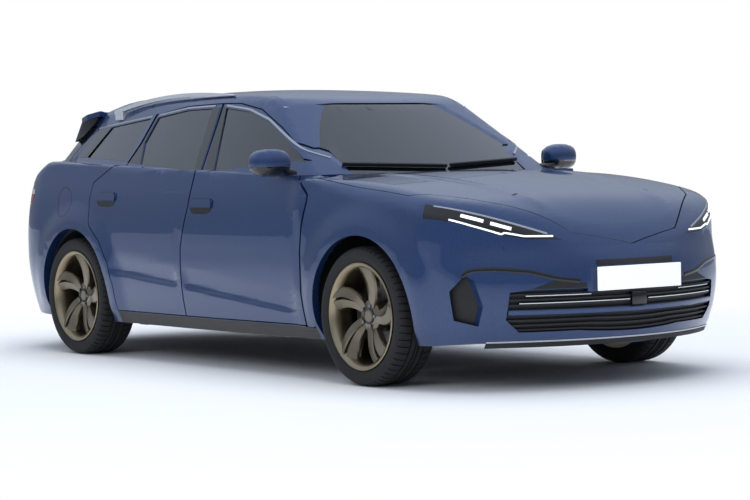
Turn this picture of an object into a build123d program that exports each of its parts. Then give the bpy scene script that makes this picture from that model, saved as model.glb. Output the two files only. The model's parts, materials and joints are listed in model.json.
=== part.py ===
"""Estate car: a five-door family estate with its doors, lids, wheels and steering as separate pieces.

Frame: +X forward, +Y to the car's left, +Z up. The origin is on the ground under the middle of the car.
All sizes are millimetres.
"""
import math
import os
from functools import lru_cache

from build123d import *

# Driving dimensions of the whole car
LENGTH = 4840.0
WHEELBASE = 2790.0
FRONT_OVERHANG = 965.0
TRACK = 1620.0
TYRE_R = 335.0
TYRE_W = 225.0
RIM_LIP_R = 258.0

NOSE_X = LENGTH / 2
TAIL_X = -LENGTH / 2
FRONT_AXLE_X = NOSE_X - FRONT_OVERHANG
REAR_AXLE_X = FRONT_AXLE_X - WHEELBASE
WHEEL_Y = TRACK / 2
AXLE_Z = TYRE_R

# Wall thicknesses and gaps
DOOR_WALL = 90.0      # lower door and quarter panel, outer skin to inner trim
FRAME_WALL = 42.0     # window frames, pillars and roof
FRONT_WALL = 34.0     # wings and bumpers
BONNET_WALL = 24.0
GLASS_INSET = 5.0     # glass lies this far inside the skin
GLASS_T = 5.0
SHUT = 6.0            # gap between a lid or door and its neighbour
SEAT = 0.3            # clearance where one piece sits on another

# Body side in plan: one long arc on each flank
SIDE_R = 60000.0
SIDE_MID_X = -100.0
FLARE = 20.0          # wheel arch lips stand out this far
ARCH_R = 388.0
FLARE_W = 46.0

# Lower body in plan: one outline of eight tangent arcs
NOSE_R = 1250.0
TAIL_R = 2200.0
HALF_WIDTH = 931.0
FRONT_CORNER_R = 450.0
REAR_CORNER_R = 640.0
BODY_LOW = 200.0
# Lower body seen from the front, two arcs and a line on each flank: (half width, height)
FLANK_LOW = [(872, 200), (914, 380), (931, 620)]
FLANK_TOP = [(931, 620), (927, 800), (900, 970)]
SHOULDER = (840, 1240)
# Lower body seen from the side: nose and tail arcs, then the arcs of the nose top and the bonnet, (x, height)
NOSE_ARC = [(2352, 200), (NOSE_X, 470), (2396, 660)]
TAIL_ARC = [(-2330, 200), (TAIL_X, 560), (-2225, 1140)]
NOSE_TOP_ARC = [(2400, 655), (2250, 800), (2000, 905)]
BONNET_ARC = [(2000, 905), (1500, 985), (950, 1012)]
BELT_LINE = [(950, 1012), (-2520, 1140)]
BONNET_CROWN_R = 9000.0
CROWN_LIFT = 24.0
# Cabin: five leaning cylinders and a crowned roof
ROOF_ARC = [(395, 1405), (-250, 1484), (-1700, 1398)]
ROOF_CROWN_R = 4300.0
ROOF_TOP = 1488.0
SCREEN_LINE = [(1018, 1000), (395, 1404)]
SCREEN_R = 4800.0
TAIL_GLASS_LINE = [(-2255, 1000), (-1805, 1400)]
TAIL_GLASS_R = 3000.0
CABIN_SIDE_LINE = [(868, 1000), (632, 1400)]
CABIN_SIDE_R = 9000.0
CABIN_MID_X = -250.0
CABIN_LOW = 930.0


def meet(centre_a, radius_a, centre_b, radius_b):
    """The two points where two circles in plan cross, as (x, y) pairs."""
    (ax, ay), (bx, by) = centre_a, centre_b
    gap = math.hypot(bx - ax, by - ay)
    along = (radius_a**2 - radius_b**2 + gap**2) / (2 * gap)
    off = math.sqrt(radius_a**2 - along**2)
    ux, uy = (bx - ax) / gap, (by - ay) / gap
    mid_x, mid_y = ax + along * ux, ay + along * uy
    return [(mid_x - off * uy, mid_y + off * ux), (mid_x + off * uy, mid_y - off * ux)]


def corner(end_centre, end_r, side_centre, side_r, corner_r, forward):
    """Tangent points and middle of the arc that rounds an end into a flank."""
    found = meet(end_centre, end_r - corner_r, side_centre, side_r - corner_r)
    cx, cy = max(found, key=lambda p: p[0] if forward else -p[0])
    points = []
    for (px, py), r in ((end_centre, end_r), (side_centre, side_r)):
        d = math.hypot(cx - px, cy - py)
        points.append((px + (cx - px) / d * r, py + (cy - py) / d * r))
    (ax, ay), (bx, by) = points
    ux, uy = (ax + bx) / 2 - cx, (ay + by) / 2 - cy
    d = math.hypot(ux, uy)
    return points[0], (cx + ux / d * corner_r, cy + uy / d * corner_r), points[1]


def plan_wire(inset):
    """Closed plan outline of the lower body, set in by inset."""
    nose_x, tail_x = NOSE_X - inset, TAIL_X + inset
    nose_r, tail_r, side_r = NOSE_R - inset, TAIL_R - inset, SIDE_R - inset
    half_w = HALF_WIDTH - inset
    side_centre = (SIDE_MID_X, half_w - side_r)
    n1, n2, n3 = corner((nose_x - nose_r, 0), nose_r, side_centre, side_r, FRONT_CORNER_R - inset, True)
    t1, t2, t3 = corner((tail_x + tail_r, 0), tail_r, side_centre, side_r, REAR_CORNER_R - inset, False)

    def flip(p):
        return (p[0], -p[1])

    arcs = [
        (flip(n1), (nose_x, 0), n1),
        (n1, n2, n3),
        (n3, (SIDE_MID_X, half_w), t3),
        (t3, t2, t1),
        (t1, (tail_x, 0), flip(t1)),
        (flip(t1), flip(t2), flip(t3)),
        (flip(t3), (SIDE_MID_X, -half_w), flip(n3)),
        (flip(n3), flip(n2), flip(n1)),
    ]
    return Wire([ThreePointArc(*arc) for arc in arcs])


def circle_through(points):
    """Centre and radius of the circle through three points."""
    (ax, ay), (bx, by), (cx, cy) = points
    d = 2 * (ax * (by - cy) + bx * (cy - ay) + cx * (ay - by))
    sa, sb, sc = ax**2 + ay**2, bx**2 + by**2, cx**2 + cy**2
    ux = (sa * (by - cy) + sb * (cy - ay) + sc * (ay - by)) / d
    uy = (sa * (cx - bx) + sb * (ax - cx) + sc * (bx - ax)) / d
    return ux, uy, math.hypot(ax - ux, ay - uy)


def arch(points, inset):
    """Cylinder lying across the car whose surface follows an arc seen from the side."""
    cx, cz, radius = circle_through(points)
    return across(cx, cz, radius - inset, -1100, 1100)


def leaning(foot, top, radius, inset, out):
    """Long cylinder whose surface holds the line from foot to top, then set in by inset.

    out is the outward direction, square to that line.
    """
    run = Vector(*top) - Vector(*foot)
    centre = (Vector(*foot) + Vector(*top)) * 0.5 - Vector(*out).normalized() * radius
    return Plane(origin=centre, z_dir=run) * Cylinder(radius - inset, 9000)


@lru_cache(maxsize=None)
def tub(inset, drop):
    """Lower body set in by inset, with its upper surface lowered by drop."""
    plan = Pos(0, 0, BODY_LOW) * extrude(make_face(plan_wire(inset)), amount=1100, dir=(0, 0, 1))
    section = Pos(-2600, 0, 0) * extrude(Plane.YZ * flank_face(inset), amount=5200, dir=(1, 0, 0))
    top = arch(BONNET_ARC, drop) & box(950, 2000, -1100, 1100, 0, 1300)
    (bx, bz), _, (wx, wz) = BONNET_ARC
    top &= leaning((bx, 0, bz + CROWN_LIFT), (wx, 0, wz + CROWN_LIFT), BONNET_CROWN_R, drop, (wz - bz, 0, bx - wx))
    top += arch(NOSE_TOP_ARC, drop) & box(2000, 2600, -1100, 1100, 0, 1300)
    (x1, z1), (x2, z2) = BELT_LINE
    belt = Polyline((x1, z1 - drop), (x2, z2 - drop), (x2, 0), (x1, 0), close=True)
    top += Pos(0, -1100, 0) * extrude(Plane.XZ * make_face(belt), amount=2200, dir=(0, 1, 0))
    return plan & section & top & ends_block(inset)


def flank_face(inset):
    low = [(y - inset, z) for y, z in FLANK_LOW]
    high = [(y - inset, z) for y, z in FLANK_TOP]
    tip = (SHOULDER[0] - inset, SHOULDER[1])
    edges = [ThreePointArc(*low), ThreePointArc(*high), Line(high[2], tip)]
    others = [ThreePointArc(*[(-y, z) for y, z in low]), ThreePointArc(*[(-y, z) for y, z in high])]
    others += [Line((-high[2][0], high[2][1]), (-tip[0], tip[1]))]
    joins = [Line(low[0], (-low[0][0], low[0][1])), Line(tip, (-tip[0], tip[1]))]
    return make_face(edges + others + joins)


def ends_block(inset):
    """Nose and tail arcs seen from the side, run across the car."""
    nose = [(x - inset, z) for x, z in NOSE_ARC]
    tail = [(x + inset, z) for x, z in TAIL_ARC]
    nose_top, tail_top = (nose[2][0] - 20, 1300), (tail[2][0] + 90, 1300)
    edges = [ThreePointArc(*nose), Line(nose[2], nose_top), Line(nose_top, tail_top), Line(tail_top, tail[2])]
    edges += [ThreePointArc(*tail), Line(tail[0], nose[0])]
    return Pos(0, -1100, 0) * extrude(Plane.XZ * make_face(edges), amount=2200, dir=(0, 1, 0))


def roof_under(inset):
    """Everything below the roof, which is arched along the car and crowned across it."""
    crown = leaning((1000, 0, ROOF_TOP), (-1000, 0, ROOF_TOP), ROOF_CROWN_R, inset, (0, 0, 1))
    return arch(ROOF_ARC, inset) & crown


@lru_cache(maxsize=None)
def cabin(inset):
    """Cabin above the belt, set in by inset all round."""
    (sx, sz), (hx, hz) = SCREEN_LINE
    (gx, gz), (tx, tz) = TAIL_GLASS_LINE
    (sy, s1), (ty, t1) = CABIN_SIDE_LINE
    shape = box(-2500, 1150, -1000, 1000, CABIN_LOW, 1600)
    shape &= leaning((sx, 0, sz), (hx, 0, hz), SCREEN_R, inset, (hz - sz, 0, sx - hx))
    shape &= leaning((gx, 0, gz), (tx, 0, tz), TAIL_GLASS_R, inset, (gz - tz, 0, tx - gx))
    for hand in (1, -1):
        foot, top = (CABIN_MID_X, hand * sy, s1), (CABIN_MID_X, hand * ty, t1)
        shape &= leaning(foot, top, CABIN_SIDE_R, inset, (0, hand * (t1 - s1), sy - ty))
    return shape & roof_under(inset)


def box(x0, x1, y0, y1, z0, z1):
    return Pos((x0 + x1) / 2, (y0 + y1) / 2, (z0 + z1) / 2) * Box(x1 - x0, y1 - y0, z1 - z0)


def side_block(points, grow, y0, y1):
    """Side-view outline of (x, z) points, grown or shrunk, run across from y0 to y1."""
    face = make_face(Polyline(*points, close=True))
    if grow:
        face = offset(face, amount=grow)
    return extrude(Pos(0, y0, 0) * (Plane.XZ * face), amount=y1 - y0, dir=(0, 1, 0))


def end_block(points, grow, x0, x1):
    """Front-view outline of (y, z) points, run along the car from x0 to x1."""
    face = make_face(Polyline(*points, close=True))
    if grow:
        face = offset(face, amount=grow)
    return extrude(Pos(x0, 0, 0) * (Plane.YZ * face), amount=x1 - x0, dir=(1, 0, 0))


def plan_block(points, grow, z0, z1):
    """Plan outline of (x, y) points, run up from z0 to z1."""
    face = make_face(Polyline(*points, close=True))
    if grow:
        face = offset(face, amount=grow)
    return extrude(Pos(0, 0, z0) * face, amount=z1 - z0, dir=(0, 0, 1))


def across(x, z, radius, y0, y1):
    """Cylinder lying across the car."""
    return Pos(x, (y0 + y1) / 2, z) * Rot(90, 0, 0) * Cylinder(radius, y1 - y0)


def upright(x, y, radius, z0, z1):
    return Pos(x, y, (z0 + z1) / 2) * Cylinder(radius, z1 - z0)


def both(piece):
    """The piece and its mirror image on the other side."""
    return piece + mirror(piece, about=Plane.XZ)


def right_of(piece):
    return mirror(piece, about=Plane.XZ)


def both_ways(points):
    """Front-view or plan outline closed by its own mirror image; points run along the +Y half."""
    return points + [(-y, z) for y, z in reversed(points)]


# Shut lines seen from the side
SIDE_Y = 570.0
REAR_ARCH_DOOR_R = 455.0
FRONT_DOOR = [
    (968, 268), (962, 631), (979, 758), (1010, 880), (1012, 915), (940, 988), (941, 1014), (767, 1117),
    (488, 1256), (241, 1358), (20, 1397), (-143, 1402), (-47, 1030), (-75, 853), (-144, 635), (-162, 268),
]
REAR_DOOR = [
    (-166, 268), (-148, 635), (-79, 853), (-53, 1030), (-159, 1402), (-500, 1398), (-838, 1360),
    (-866, 1203), (-922, 1088), (-1140, 989), (-1163, 891), (-1142, 778),
] + [
    (
        REAR_AXLE_X + REAR_ARCH_DOOR_R * math.cos(math.radians(a)),
        AXLE_Z + REAR_ARCH_DOOR_R * math.sin(math.radians(a)),
    )
    for a in (62, 45, 27, 9)
] + [(-882, 268)]
FRONT_GLASS = [(-104, 1376), (62, 1040), (792, 1084), (569, 1192), (350, 1290), (131, 1350)]
REAR_GLASS = [(-245, 1378), (-134, 1046), (-756, 1083), (-832, 1203), (-808, 1345), (-500, 1376)]
QUARTER_GLASS = [(-945, 1102), (-1568, 1128), (-1600, 1145), (-1407, 1305), (-905, 1342)]
DOOR_SPLIT = [
    (-168, 268), (-150, 635), (-81, 853), (-55, 1030), (-161, 1402), (-141, 1402), (-45, 1030), (-73, 853),
    (-142, 635), (-160, 268),
]
WING = [(968, 150), (2300, 150), (2300, 1060), (925, 1060), (925, 960), (968, 900)]
BODY_SIDE = [
    (-2600, 100), (960, 100), (960, 250), (925, 960), (925, 1030),
    (1100, 1030), (1100, 1600), (-2600, 1600),
]
FRONT_BUMPER = [(1300, 100), (2600, 100), (2600, 830), (1990, 785), (1640, 672), (1300, 672)]
REAR_BUMPER = [(-2600, 100), (-1500, 100), (-1500, 700), (-1820, 712), (-1935, 880), (-2020, 880),
               (-2120, 650), (-2600, 650)]
SILL = [(-884, 190), (1052, 190), (1052, 262), (-884, 262)]
# Shut lines seen from above: half of the bonnet, from the windscreen round to the nose
BONNET = [(1040, 0), (1024, 300), (1002, 560), (1015, 690), (1034, 760), (1034, 855), (1399, 862), (1775, 852),
          (2080, 640), (2330, 330), (2385, 0)]
# Outlines seen from the front or the back, the +Y half
WINDSCREEN = [(735, 968), (735, 1002), (572, 1366), (300, 1388), (0, 1394)]
TAILGATE = [(0, 655), (540, 655), (600, 760), (648, 900), (655, 1090), (566, 1345), (566, 1600), (0, 1600)]
REAR_WINDOW = [(0, 1092), (560, 1092), (560, 1110), (505, 1322), (0, 1345)]
HEADLAMP = [(890, 893), (700, 828), (395, 708), (560, 704), (700, 733), (838, 790), (890, 806)]
TAIL_LAMP = [(654, 858), (1000, 858), (1000, 972), (654, 962)]
LIGHT_BAR = [(0, 872), (622, 872), (622, 948), (0, 948)]
ROOF_HALF_W = 562.0
ROOF_FRONT_X = 405.0
ROOF_REAR_X = -1640.0

# Front end openings seen from the front: the wide lower grille and the corner air ducts
GRILLE = [(0, 262), (600, 262), (655, 330), (640, 462), (560, 470), (290, 470), (290, 455), (0, 455)]
AIR_DUCT = [(760, 300), (836, 330), (842, 470), (800, 545), (770, 520), (742, 400)]

nodes = {}

# Master shapes
lower_body = tub(0, 0)
upper_body = cabin(0)
cabin_space = tub(DOOR_WALL, FRAME_WALL) & box(-2320, 1010, -1000, 1000, 100, 1300)
cabin_space += cabin(FRAME_WALL)
front_space = tub(FRONT_WALL, BONNET_WALL)
arches = both(across(FRONT_AXLE_X, AXLE_Z, ARCH_R, 490, 1100) + across(REAR_AXLE_X, AXLE_Z, ARCH_R, 690, 1100))
lips = both(
    across(FRONT_AXLE_X, AXLE_Z, ARCH_R + FLARE_W, 700, 1100) + across(REAR_AXLE_X, AXLE_Z, ARCH_R + FLARE_W, 700, 1100)
)
flared = tub(-FLARE, 0) & lips & box(-2600, 2600, -1100, 1100, 225, 1200)
walls = lower_body + upper_body - cabin_space - arches
walls += (flared - tub(DOOR_WALL, 0)) - arches
front_walls = (lower_body + (flared & box(900, 2600, -1100, 1100, 0, 1200))) - front_space - arches

# Zones cut by the shut lines
half = SHUT / 2
bonnet_points = BONNET + [(x, -y) for x, y in reversed(BONNET[1:-1])]
bonnet_zone = plan_block(bonnet_points, half, 560, 1300)
lamp_zone = both(end_block(HEADLAMP, 0, 1700, 2500))
bumper_zone = side_block(FRONT_BUMPER, 0, -1100, 1100)
front_door_zone = side_block(FRONT_DOOR, half, SIDE_Y, 1100)
rear_door_zone = side_block(REAR_DOOR, half, SIDE_Y, 1100)
tailgate_zone = end_block(both_ways(TAILGATE[1:-1]), half, -2600, ROOF_REAR_X + 11)
screen_side = [(1200, 930), (960, 930), (905, 1002), (640, 1200), (400, 1379), (380, 1500), (1200, 1500)]
windscreen_zone = end_block(both_ways(WINDSCREEN[:-1]), 0, 300, 1200) & side_block(screen_side, 0, -1100, 1100)
TAIL_GAP = 11.0
roof_zone = box(ROOF_REAR_X - half, ROOF_FRONT_X, -ROOF_HALF_W, ROOF_HALF_W, 1250, 1600)
rear_bumper_zone = side_block(REAR_BUMPER, 0, -1100, 1100)
tail_lamp_zone = both(end_block(TAIL_LAMP, 0, -2600, -1966 + SEAT))

# Doors with their panes, mirrors and handles: the left side, then mirrored
HANDLE_H = 34.0
HINGE_PIN_R = 4.0
HINGE_H = 40.0
RUN = 0.05
# door: hinge axis x and y, heights of the two hinges
HINGES = {"front": (945.0, 908.0, (480.0, 760.0)), "rear": (-176.0, 914.0, (652.0, 791.0))}
HANDLE_L = 224.0
DOORS = [
    ("front", FRONT_DOOR, FRONT_GLASS, 56, 872),
    ("rear", REAR_DOOR, REAR_GLASS, -965, 908),
]
door_skin = walls & box(-1300, 1200, SIDE_Y, 1100, 150, 1500)
pane_skin = cabin(GLASS_INSET) - cabin(GLASS_INSET + GLASS_T)
for name, outline, window, handle_x, handle_z in DOORS:
    hinge_x, hinge_y, hinge_heights = HINGES[name]
    door = door_skin & side_block(outline, -half, SIDE_Y, 1100)
    door -= side_block(window, 0, SIDE_Y - 20, 1100)
    grip = box(
        handle_x - HANDLE_L / 2, handle_x + HANDLE_L / 2, 700, 1000, handle_z - HANDLE_H / 2, handle_z + HANDLE_H / 2
    )
    door += (grip & tub(-4, 0)) - tub(2, 0)
    for hinge_z in hinge_heights:
        low, high = hinge_z - HINGE_H / 2, hinge_z + HINGE_H / 2
        pocket = box(hinge_x - 9, hinge_x + 90, 700, hinge_y + 8, low, high)
        door -= pocket + upright(hinge_x, hinge_y, HINGE_PIN_R + RUN, low - 12, high + 12)
    pane = pane_skin & side_block(window, -SEAT, SIDE_Y - 10, 1100)
    for side, turn in (("left", lambda p: p), ("right", right_of)):
        nodes[f"door_{name}_{side}"] = turn(door)
        nodes[f"door_{name}_glass_{side}"] = turn(pane)



def hinge_arm(x, y, z, inner_y, reach_x):
    """Pin in the door, with an arm inwards and then along the car to what carries it."""
    arm_h = HINGE_H - 12
    arm = upright(x, y, HINGE_PIN_R, z - HINGE_H / 2 - 10, z + HINGE_H / 2 + 10)
    arm += upright(x, y, HINGE_PIN_R + 2.5, z - arm_h / 2, z + arm_h / 2)
    arm += box(x - 4, x + 4, inner_y - 10, y, z - arm_h / 2, z + arm_h / 2)
    arm += box(x - 4, reach_x, inner_y - 10, inner_y, z - arm_h / 2, z + arm_h / 2)
    return arm


MIRROR_X = 800.0
MIRROR_SIZE = (150.0, 180.0, 138.0)
MIRROR_OUT = 1040.0
mirror_case = Box(*MIRROR_SIZE)
mirror_case = fillet(mirror_case.edges().filter_by(Axis.X), 46)
mirror_case = chamfer(mirror_case.faces().sort_by(Axis.X)[-1].edges(), 44, 30)
mirror_case = Pos(MIRROR_X, MIRROR_OUT - MIRROR_SIZE[1] / 2, 1092) * mirror_case
mirror_foot = box(MIRROR_X - 45, MIRROR_X + 45, 835, 930, 1008, 1050) - walls - cabin(FRAME_WALL)
mirror_unit = mirror_case + (mirror_foot & box(700, 900, 825, 940, 1000, 1060))
nodes["mirror_left"] = mirror_unit
nodes["mirror_right"] = right_of(mirror_unit)

# Body sides: pillars, cant rails, quarter panels and sills
BACKSET = 13.0
SILL_IN_Y = 850.0
PAD = (80.0, 56.0, 8.0)
PAD_Y = 805.0
PILLAR_B = [(5, 201), (85, 201), (85, 1000), (-62, 1409), (-62, 1440), (-125, 1440), (-125, 1409), (5, 1000)]
side = walls & side_block(BODY_SIDE, 0, 0, 1100)
side += (box(-884, 960, 0, 1000, 150, 262) & lower_body) - tub(DOOR_WALL + 72, 0)
side -= front_door_zone + rear_door_zone
side -= (side_block(FRONT_DOOR, BACKSET, SIDE_Y, 1100) + side_block(REAR_DOOR, BACKSET, SIDE_Y, 1100)) & tub(22, 0)
side -= side_block([(-830, 1366), (-858, 1203), (-912, 1094), (-940, 1094), (-890, 1203), (-862, 1366)], 0, SIDE_Y, 1100)
side -= side_block(DOOR_SPLIT, half, SIDE_Y, 1100)
side -= tailgate_zone + windscreen_zone + roof_zone + rear_bumper_zone + tail_lamp_zone
side -= side_block(QUARTER_GLASS, 0, SIDE_Y, 1100)
side -= side_block(SILL, 0, SILL_IN_Y, 1100)
for pad_x in (700, -720):
    side += box(pad_x - PAD[0] / 2, pad_x + PAD[0] / 2, PAD_Y - PAD[1] / 2, PAD_Y + PAD[1] / 2, BODY_LOW - PAD[2], BODY_LOW + 4)
pillar_zone = side_block(PILLAR_B, 0, SIDE_Y, 1100)
pillar_b = (pillar_zone & tub(DOOR_WALL + 6, 14)) - tub(DOOR_WALL + 72, 14)
pillar_b += (pillar_zone & cabin(FRAME_WALL + 6) & box(-300, 300, 0, 1000, 1030, 1600)) - cabin(FRAME_WALL + 62)
pillar_b += (upper_body - cabin(FRAME_WALL + 62)) & box(-125, -62, SIDE_Y, 1000, 1409, 1440)
side += pillar_b
hinge_x, hinge_y, hinge_heights = HINGES["rear"]
for hinge_z in hinge_heights:
    side += hinge_arm(hinge_x, hinge_y, hinge_z, 822, 20)
nodes["body_side_left"] = side
nodes["body_side_right"] = right_of(side)

# Sill trims
trim = lower_body & side_block(SILL, -1, SILL_IN_Y + SEAT, 1100)
nodes["sill_trims"] = both(trim)

# Roof, windscreen and fixed side glass
nodes["roof_panel"] = (upper_body - cabin(FRAME_WALL)) & box(
    ROOF_REAR_X + TAIL_GAP, ROOF_FRONT_X - SEAT, SEAT - ROOF_HALF_W, ROOF_HALF_W - SEAT, 1250, 1600
) - windscreen_zone
nodes["windscreen"] = pane_skin & end_block(both_ways(WINDSCREEN[:-1]), -SEAT, 330, 1200) & side_block(screen_side, -SEAT, -1100, 1100) - both(front_door_zone)
nodes["quarter_glass"] = both(pane_skin & side_block(QUARTER_GLASS, -SEAT, SIDE_Y, 1100))

# Roof rails: a flat arch over each side on three feet
RAIL_Y = 590.0
RAIL_W = 26.0
RAIL_T = 22.0
rail_line = [(392, 1366), (-370, 1468), (-1380, 1398)]
rail_top = ThreePointArc(*[(x, 0, z) for x, z in rail_line])
rail_low = ThreePointArc(*[(x, 0, z - RAIL_T) for x, z in rail_line])
rail_ends = [Line(rail_top @ 1, rail_low @ 1), Line(rail_low @ 0, rail_top @ 0)]
rail_face = Face(Wire([rail_top, rail_low] + rail_ends))
rail = Pos(0, RAIL_Y - RAIL_W / 2, 0) * extrude(rail_face, amount=RAIL_W, dir=(0, 1, 0))
for foot_x, foot_l in ((345, 90), (-480, 110), (-1330, 90)):
    foot_top = 1468 - 102 * ((foot_x + 370) / 762) ** 2 if foot_x > -370 else 1468 - 70 * ((foot_x + 370) / 1010) ** 2
    rail += box(foot_x - foot_l / 2, foot_x + foot_l / 2, RAIL_Y - 11, RAIL_Y + 11, foot_top - 60, foot_top - RAIL_T / 2)
rail -= cabin(-SEAT)
nodes["roof_rails"] = both(rail)

# Tailgate with its spoiler, glass and light bar, hung on two pins under the roof
TAIL_PIN_X = -1650.0
TAIL_PIN_Z = 1391.0
TAIL_PIN_Y = 420.0
GATE_EASE = 9.0       # extra gap beside the rear pillars, where the tailgate swings past them
SPOILER = [(-1660, 545), (-1760, 575), (-1850, 560), (-1888, 400), (-1905, 0)]
spoiler = (roof_under(0) - roof_under(30)) & plan_block(
    SPOILER + [(x, -y) for x, y in reversed(SPOILER[:-1])], 0, 1200, 1500
)
tail_walls = walls & box(-2600, ROOF_REAR_X, -1000, 1000, 500, 1600)
tailgate = tail_walls & end_block(both_ways(TAILGATE[1:-1]), -half, -2600, ROOF_REAR_X - half)
tailgate &= end_block(both_ways(TAILGATE[1:-1]), -half - GATE_EASE, -2600, 0) + box(-2600, 0, -1100, 1100, 0, 900)
tailgate += spoiler
window_zone = end_block(both_ways(REAR_WINDOW[1:-1]), 0, -2600, -1500)
bar_zone = end_block(both_ways(LIGHT_BAR[1:-1]), 0, -2600, -2000)
nodes["tail_light_bar"] = (end_block(both_ways(LIGHT_BAR[1:-1]), -SEAT, -2600, -2100) & lower_body) - tub(26, 0)
nodes["tailgate_glass"] = pane_skin & end_block(both_ways(REAR_WINDOW[1:-1]), -SEAT, -2600, -1600)
tailgate -= window_zone & (cabin(0) - cabin(FRAME_WALL + 10))
tailgate -= (bar_zone & tub(-10, 0)) - tub(26 + SEAT, 0)
for hand in (1, -1):
    mid = hand * TAIL_PIN_Y
    tailgate -= box(TAIL_PIN_X - 10, ROOF_REAR_X, mid - 24, mid + 24, 1330, TAIL_PIN_Z + 6)
    tailgate -= across(TAIL_PIN_X, TAIL_PIN_Z, HINGE_PIN_R + RUN, mid - 36, mid + 36)
    arm = across(TAIL_PIN_X, TAIL_PIN_Z, HINGE_PIN_R, mid - 34, mid + 34)
    arm += box(TAIL_PIN_X - 4, TAIL_PIN_X + 4, mid - 16, mid + 16, 1338, TAIL_PIN_Z)
    arm += box(TAIL_PIN_X - 4, -1600, mid - 16, mid + 16, 1338, 1346) + box(-1622, -1600, mid - 16, mid + 16, 1338, 1372)
    nodes["roof_panel"] += arm
nodes["tailgate"] = tailgate

# Rear bumper and the corner lamps
bumper_back = (side_block(REAR_BUMPER, -SEAT, -1100, 1100) & lower_body) - tub(DOOR_WALL, 0) - arches
bumper_back -= end_block(both_ways(TAILGATE[1:-1]), half + 2, -2600, ROOF_REAR_X) + tail_lamp_zone
nodes["rear_bumper"] = bumper_back
nodes["tail_lamps"] = (both(end_block(TAIL_LAMP, -SEAT, -2600, -1966)) & lower_body) - tub(45, 0)

LID_PIN_X = 1000.0
LID_PIN_Z = 958.0
LID_PIN_Y = 690.0
LID_SWING_R = 65.0    # the bonnet's rear corners keep outside this radius about its pins

# Front end: wings, bonnet, bumper, grille and lamps
wing = front_walls & side_block(WING, 0, 0, 1100)
wing -= side_block(FRONT_DOOR, 9, SIDE_Y, 1100) + bumper_zone + bonnet_zone + lamp_zone + windscreen_zone
wing -= side_block(SILL, 1, 500, 1100) + cabin(-3)
wing -= side_block(BODY_SIDE, SEAT, 0, 1100) + box(900, 1040, 0, 775, 800, 1100)
nodes["front_wings"] = both(wing)
bonnet = front_walls & plan_block(bonnet_points, -half, 560, 1300)
bonnet -= lamp_zone + box(0, 2600, -1100, 1100, 0, 640) + cabin(-8)
for inner, outer in ((LID_PIN_Y - 22, LID_PIN_Y - 12), (LID_PIN_Y + 12, LID_PIN_Y + 22)):
    lug = box(LID_PIN_X - 9, LID_PIN_X + 60, inner, outer, LID_PIN_Z - 9, 1004) & tub(0, 6)
    lug -= across(LID_PIN_X, LID_PIN_Z, 5 + RUN, 500, 900)
    bonnet += both(lug)
bonnet -= both(across(LID_PIN_X, LID_PIN_Z, LID_SWING_R, 735, 900))
nodes["bonnet"] = bonnet
bumper_front = front_walls & side_block(FRONT_BUMPER, -SEAT, -1100, 1100)
bumper_front -= bonnet_zone + lamp_zone
ducts = both(end_block(AIR_DUCT, 0, 1600, 2600))
grille_zone = end_block(both_ways(GRILLE[1:-1]), 0, 1900, 2600)
nodes["front_bumper"] = bumper_front - ducts - grille_zone
SLATS = 8
SLAT_T = 9.0
grille_face = end_block(both_ways(GRILLE[1:-1]), -SEAT, 1900, 2600)
grille = ((grille_face + both(end_block(AIR_DUCT, -SEAT, 1600, 2600))) & tub(25, 0)) - tub(31, 0)
slat_skin = (grille_face & tub(8, 0)) - tub(26, 0)
for i in range(SLATS):
    slat_z = 275 + i * 25
    grille += slat_skin & box(1900, 2600, -700, 700, slat_z - SLAT_T / 2, slat_z + SLAT_T / 2)
nodes["front_grille"] = grille
nodes["headlamps"] = (both(end_block(HEADLAMP, -SEAT, 1700, 2500)) & tub(1, 1)) - tub(52, 46)
cowl = box(1000, 1080, -570, 570, 930 + SEAT, 968 - SEAT)
nodes["cowl_panel"] = cowl

# Floor, bulkhead, front rails and crash beam
floor = (tub(DOOR_WALL + 72 + SEAT, 0)) & box(-884, 1010, -1000, 1000, 201, 232)
floor += tub(DOOR_WALL + SEAT, 0) & box(-2150, -884, -1000, 1000, 201, 232)
floor += box(-2150, -905, -600, 600, 420, 440)
floor += box(-920, -905, -600, 600, 225, 440) + box(-2150, -2130, -600, 600, 225, 440)
floor += (tub(FRONT_WALL + SEAT, 60) & box(1010, 1036, -1000, 1000, 263, 930)) + box(1010, 1036, -849, 849, 201, 264)
floor += both(box(1030, 2240, 400, 470, 420, 520)) + ((box(1900, 2500, -620, 620, 425, 515) & tub(FRONT_WALL + SEAT, 0)) - tub(90, 0))
hinge_x, hinge_y, hinge_heights = HINGES["front"]
for hinge_z in hinge_heights:
    floor += both(hinge_arm(hinge_x, hinge_y, hinge_z, 822, 1014))
for hinge_side in (1, -1):
    lid_y = hinge_side * LID_PIN_Y
    floor += box(LID_PIN_X - 8, 1030, lid_y - 7, lid_y + 7, 925, LID_PIN_Z + 8)
    floor += across(LID_PIN_X, LID_PIN_Z, 5, lid_y - 26, lid_y + 26)
floor -= arches + both(across(REAR_AXLE_X, AXLE_Z, ARCH_R + 4, 600, 1100))
nodes["floor_pan"] = floor

# Wheel housings
LINER_R = 412.0
liner = across(FRONT_AXLE_X, AXLE_Z, LINER_R + 5, 486, 860) - across(FRONT_AXLE_X, AXLE_Z, LINER_R, 400, 900)
liner &= box(0, 2600, 0, 1000, 300, 1000)
liner -= box(0, 2600, 380, 490, 400, 540)
back = across(REAR_AXLE_X, AXLE_Z, ARCH_R - 1, 700, 875) - across(REAR_AXLE_X, AXLE_Z, ARCH_R - 6, 600, 900)
liner += back & box(-2600, 0, 0, 1000, 300, 1000)
nodes["wheel_housings"] = both(liner - walls - front_walls)

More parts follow.
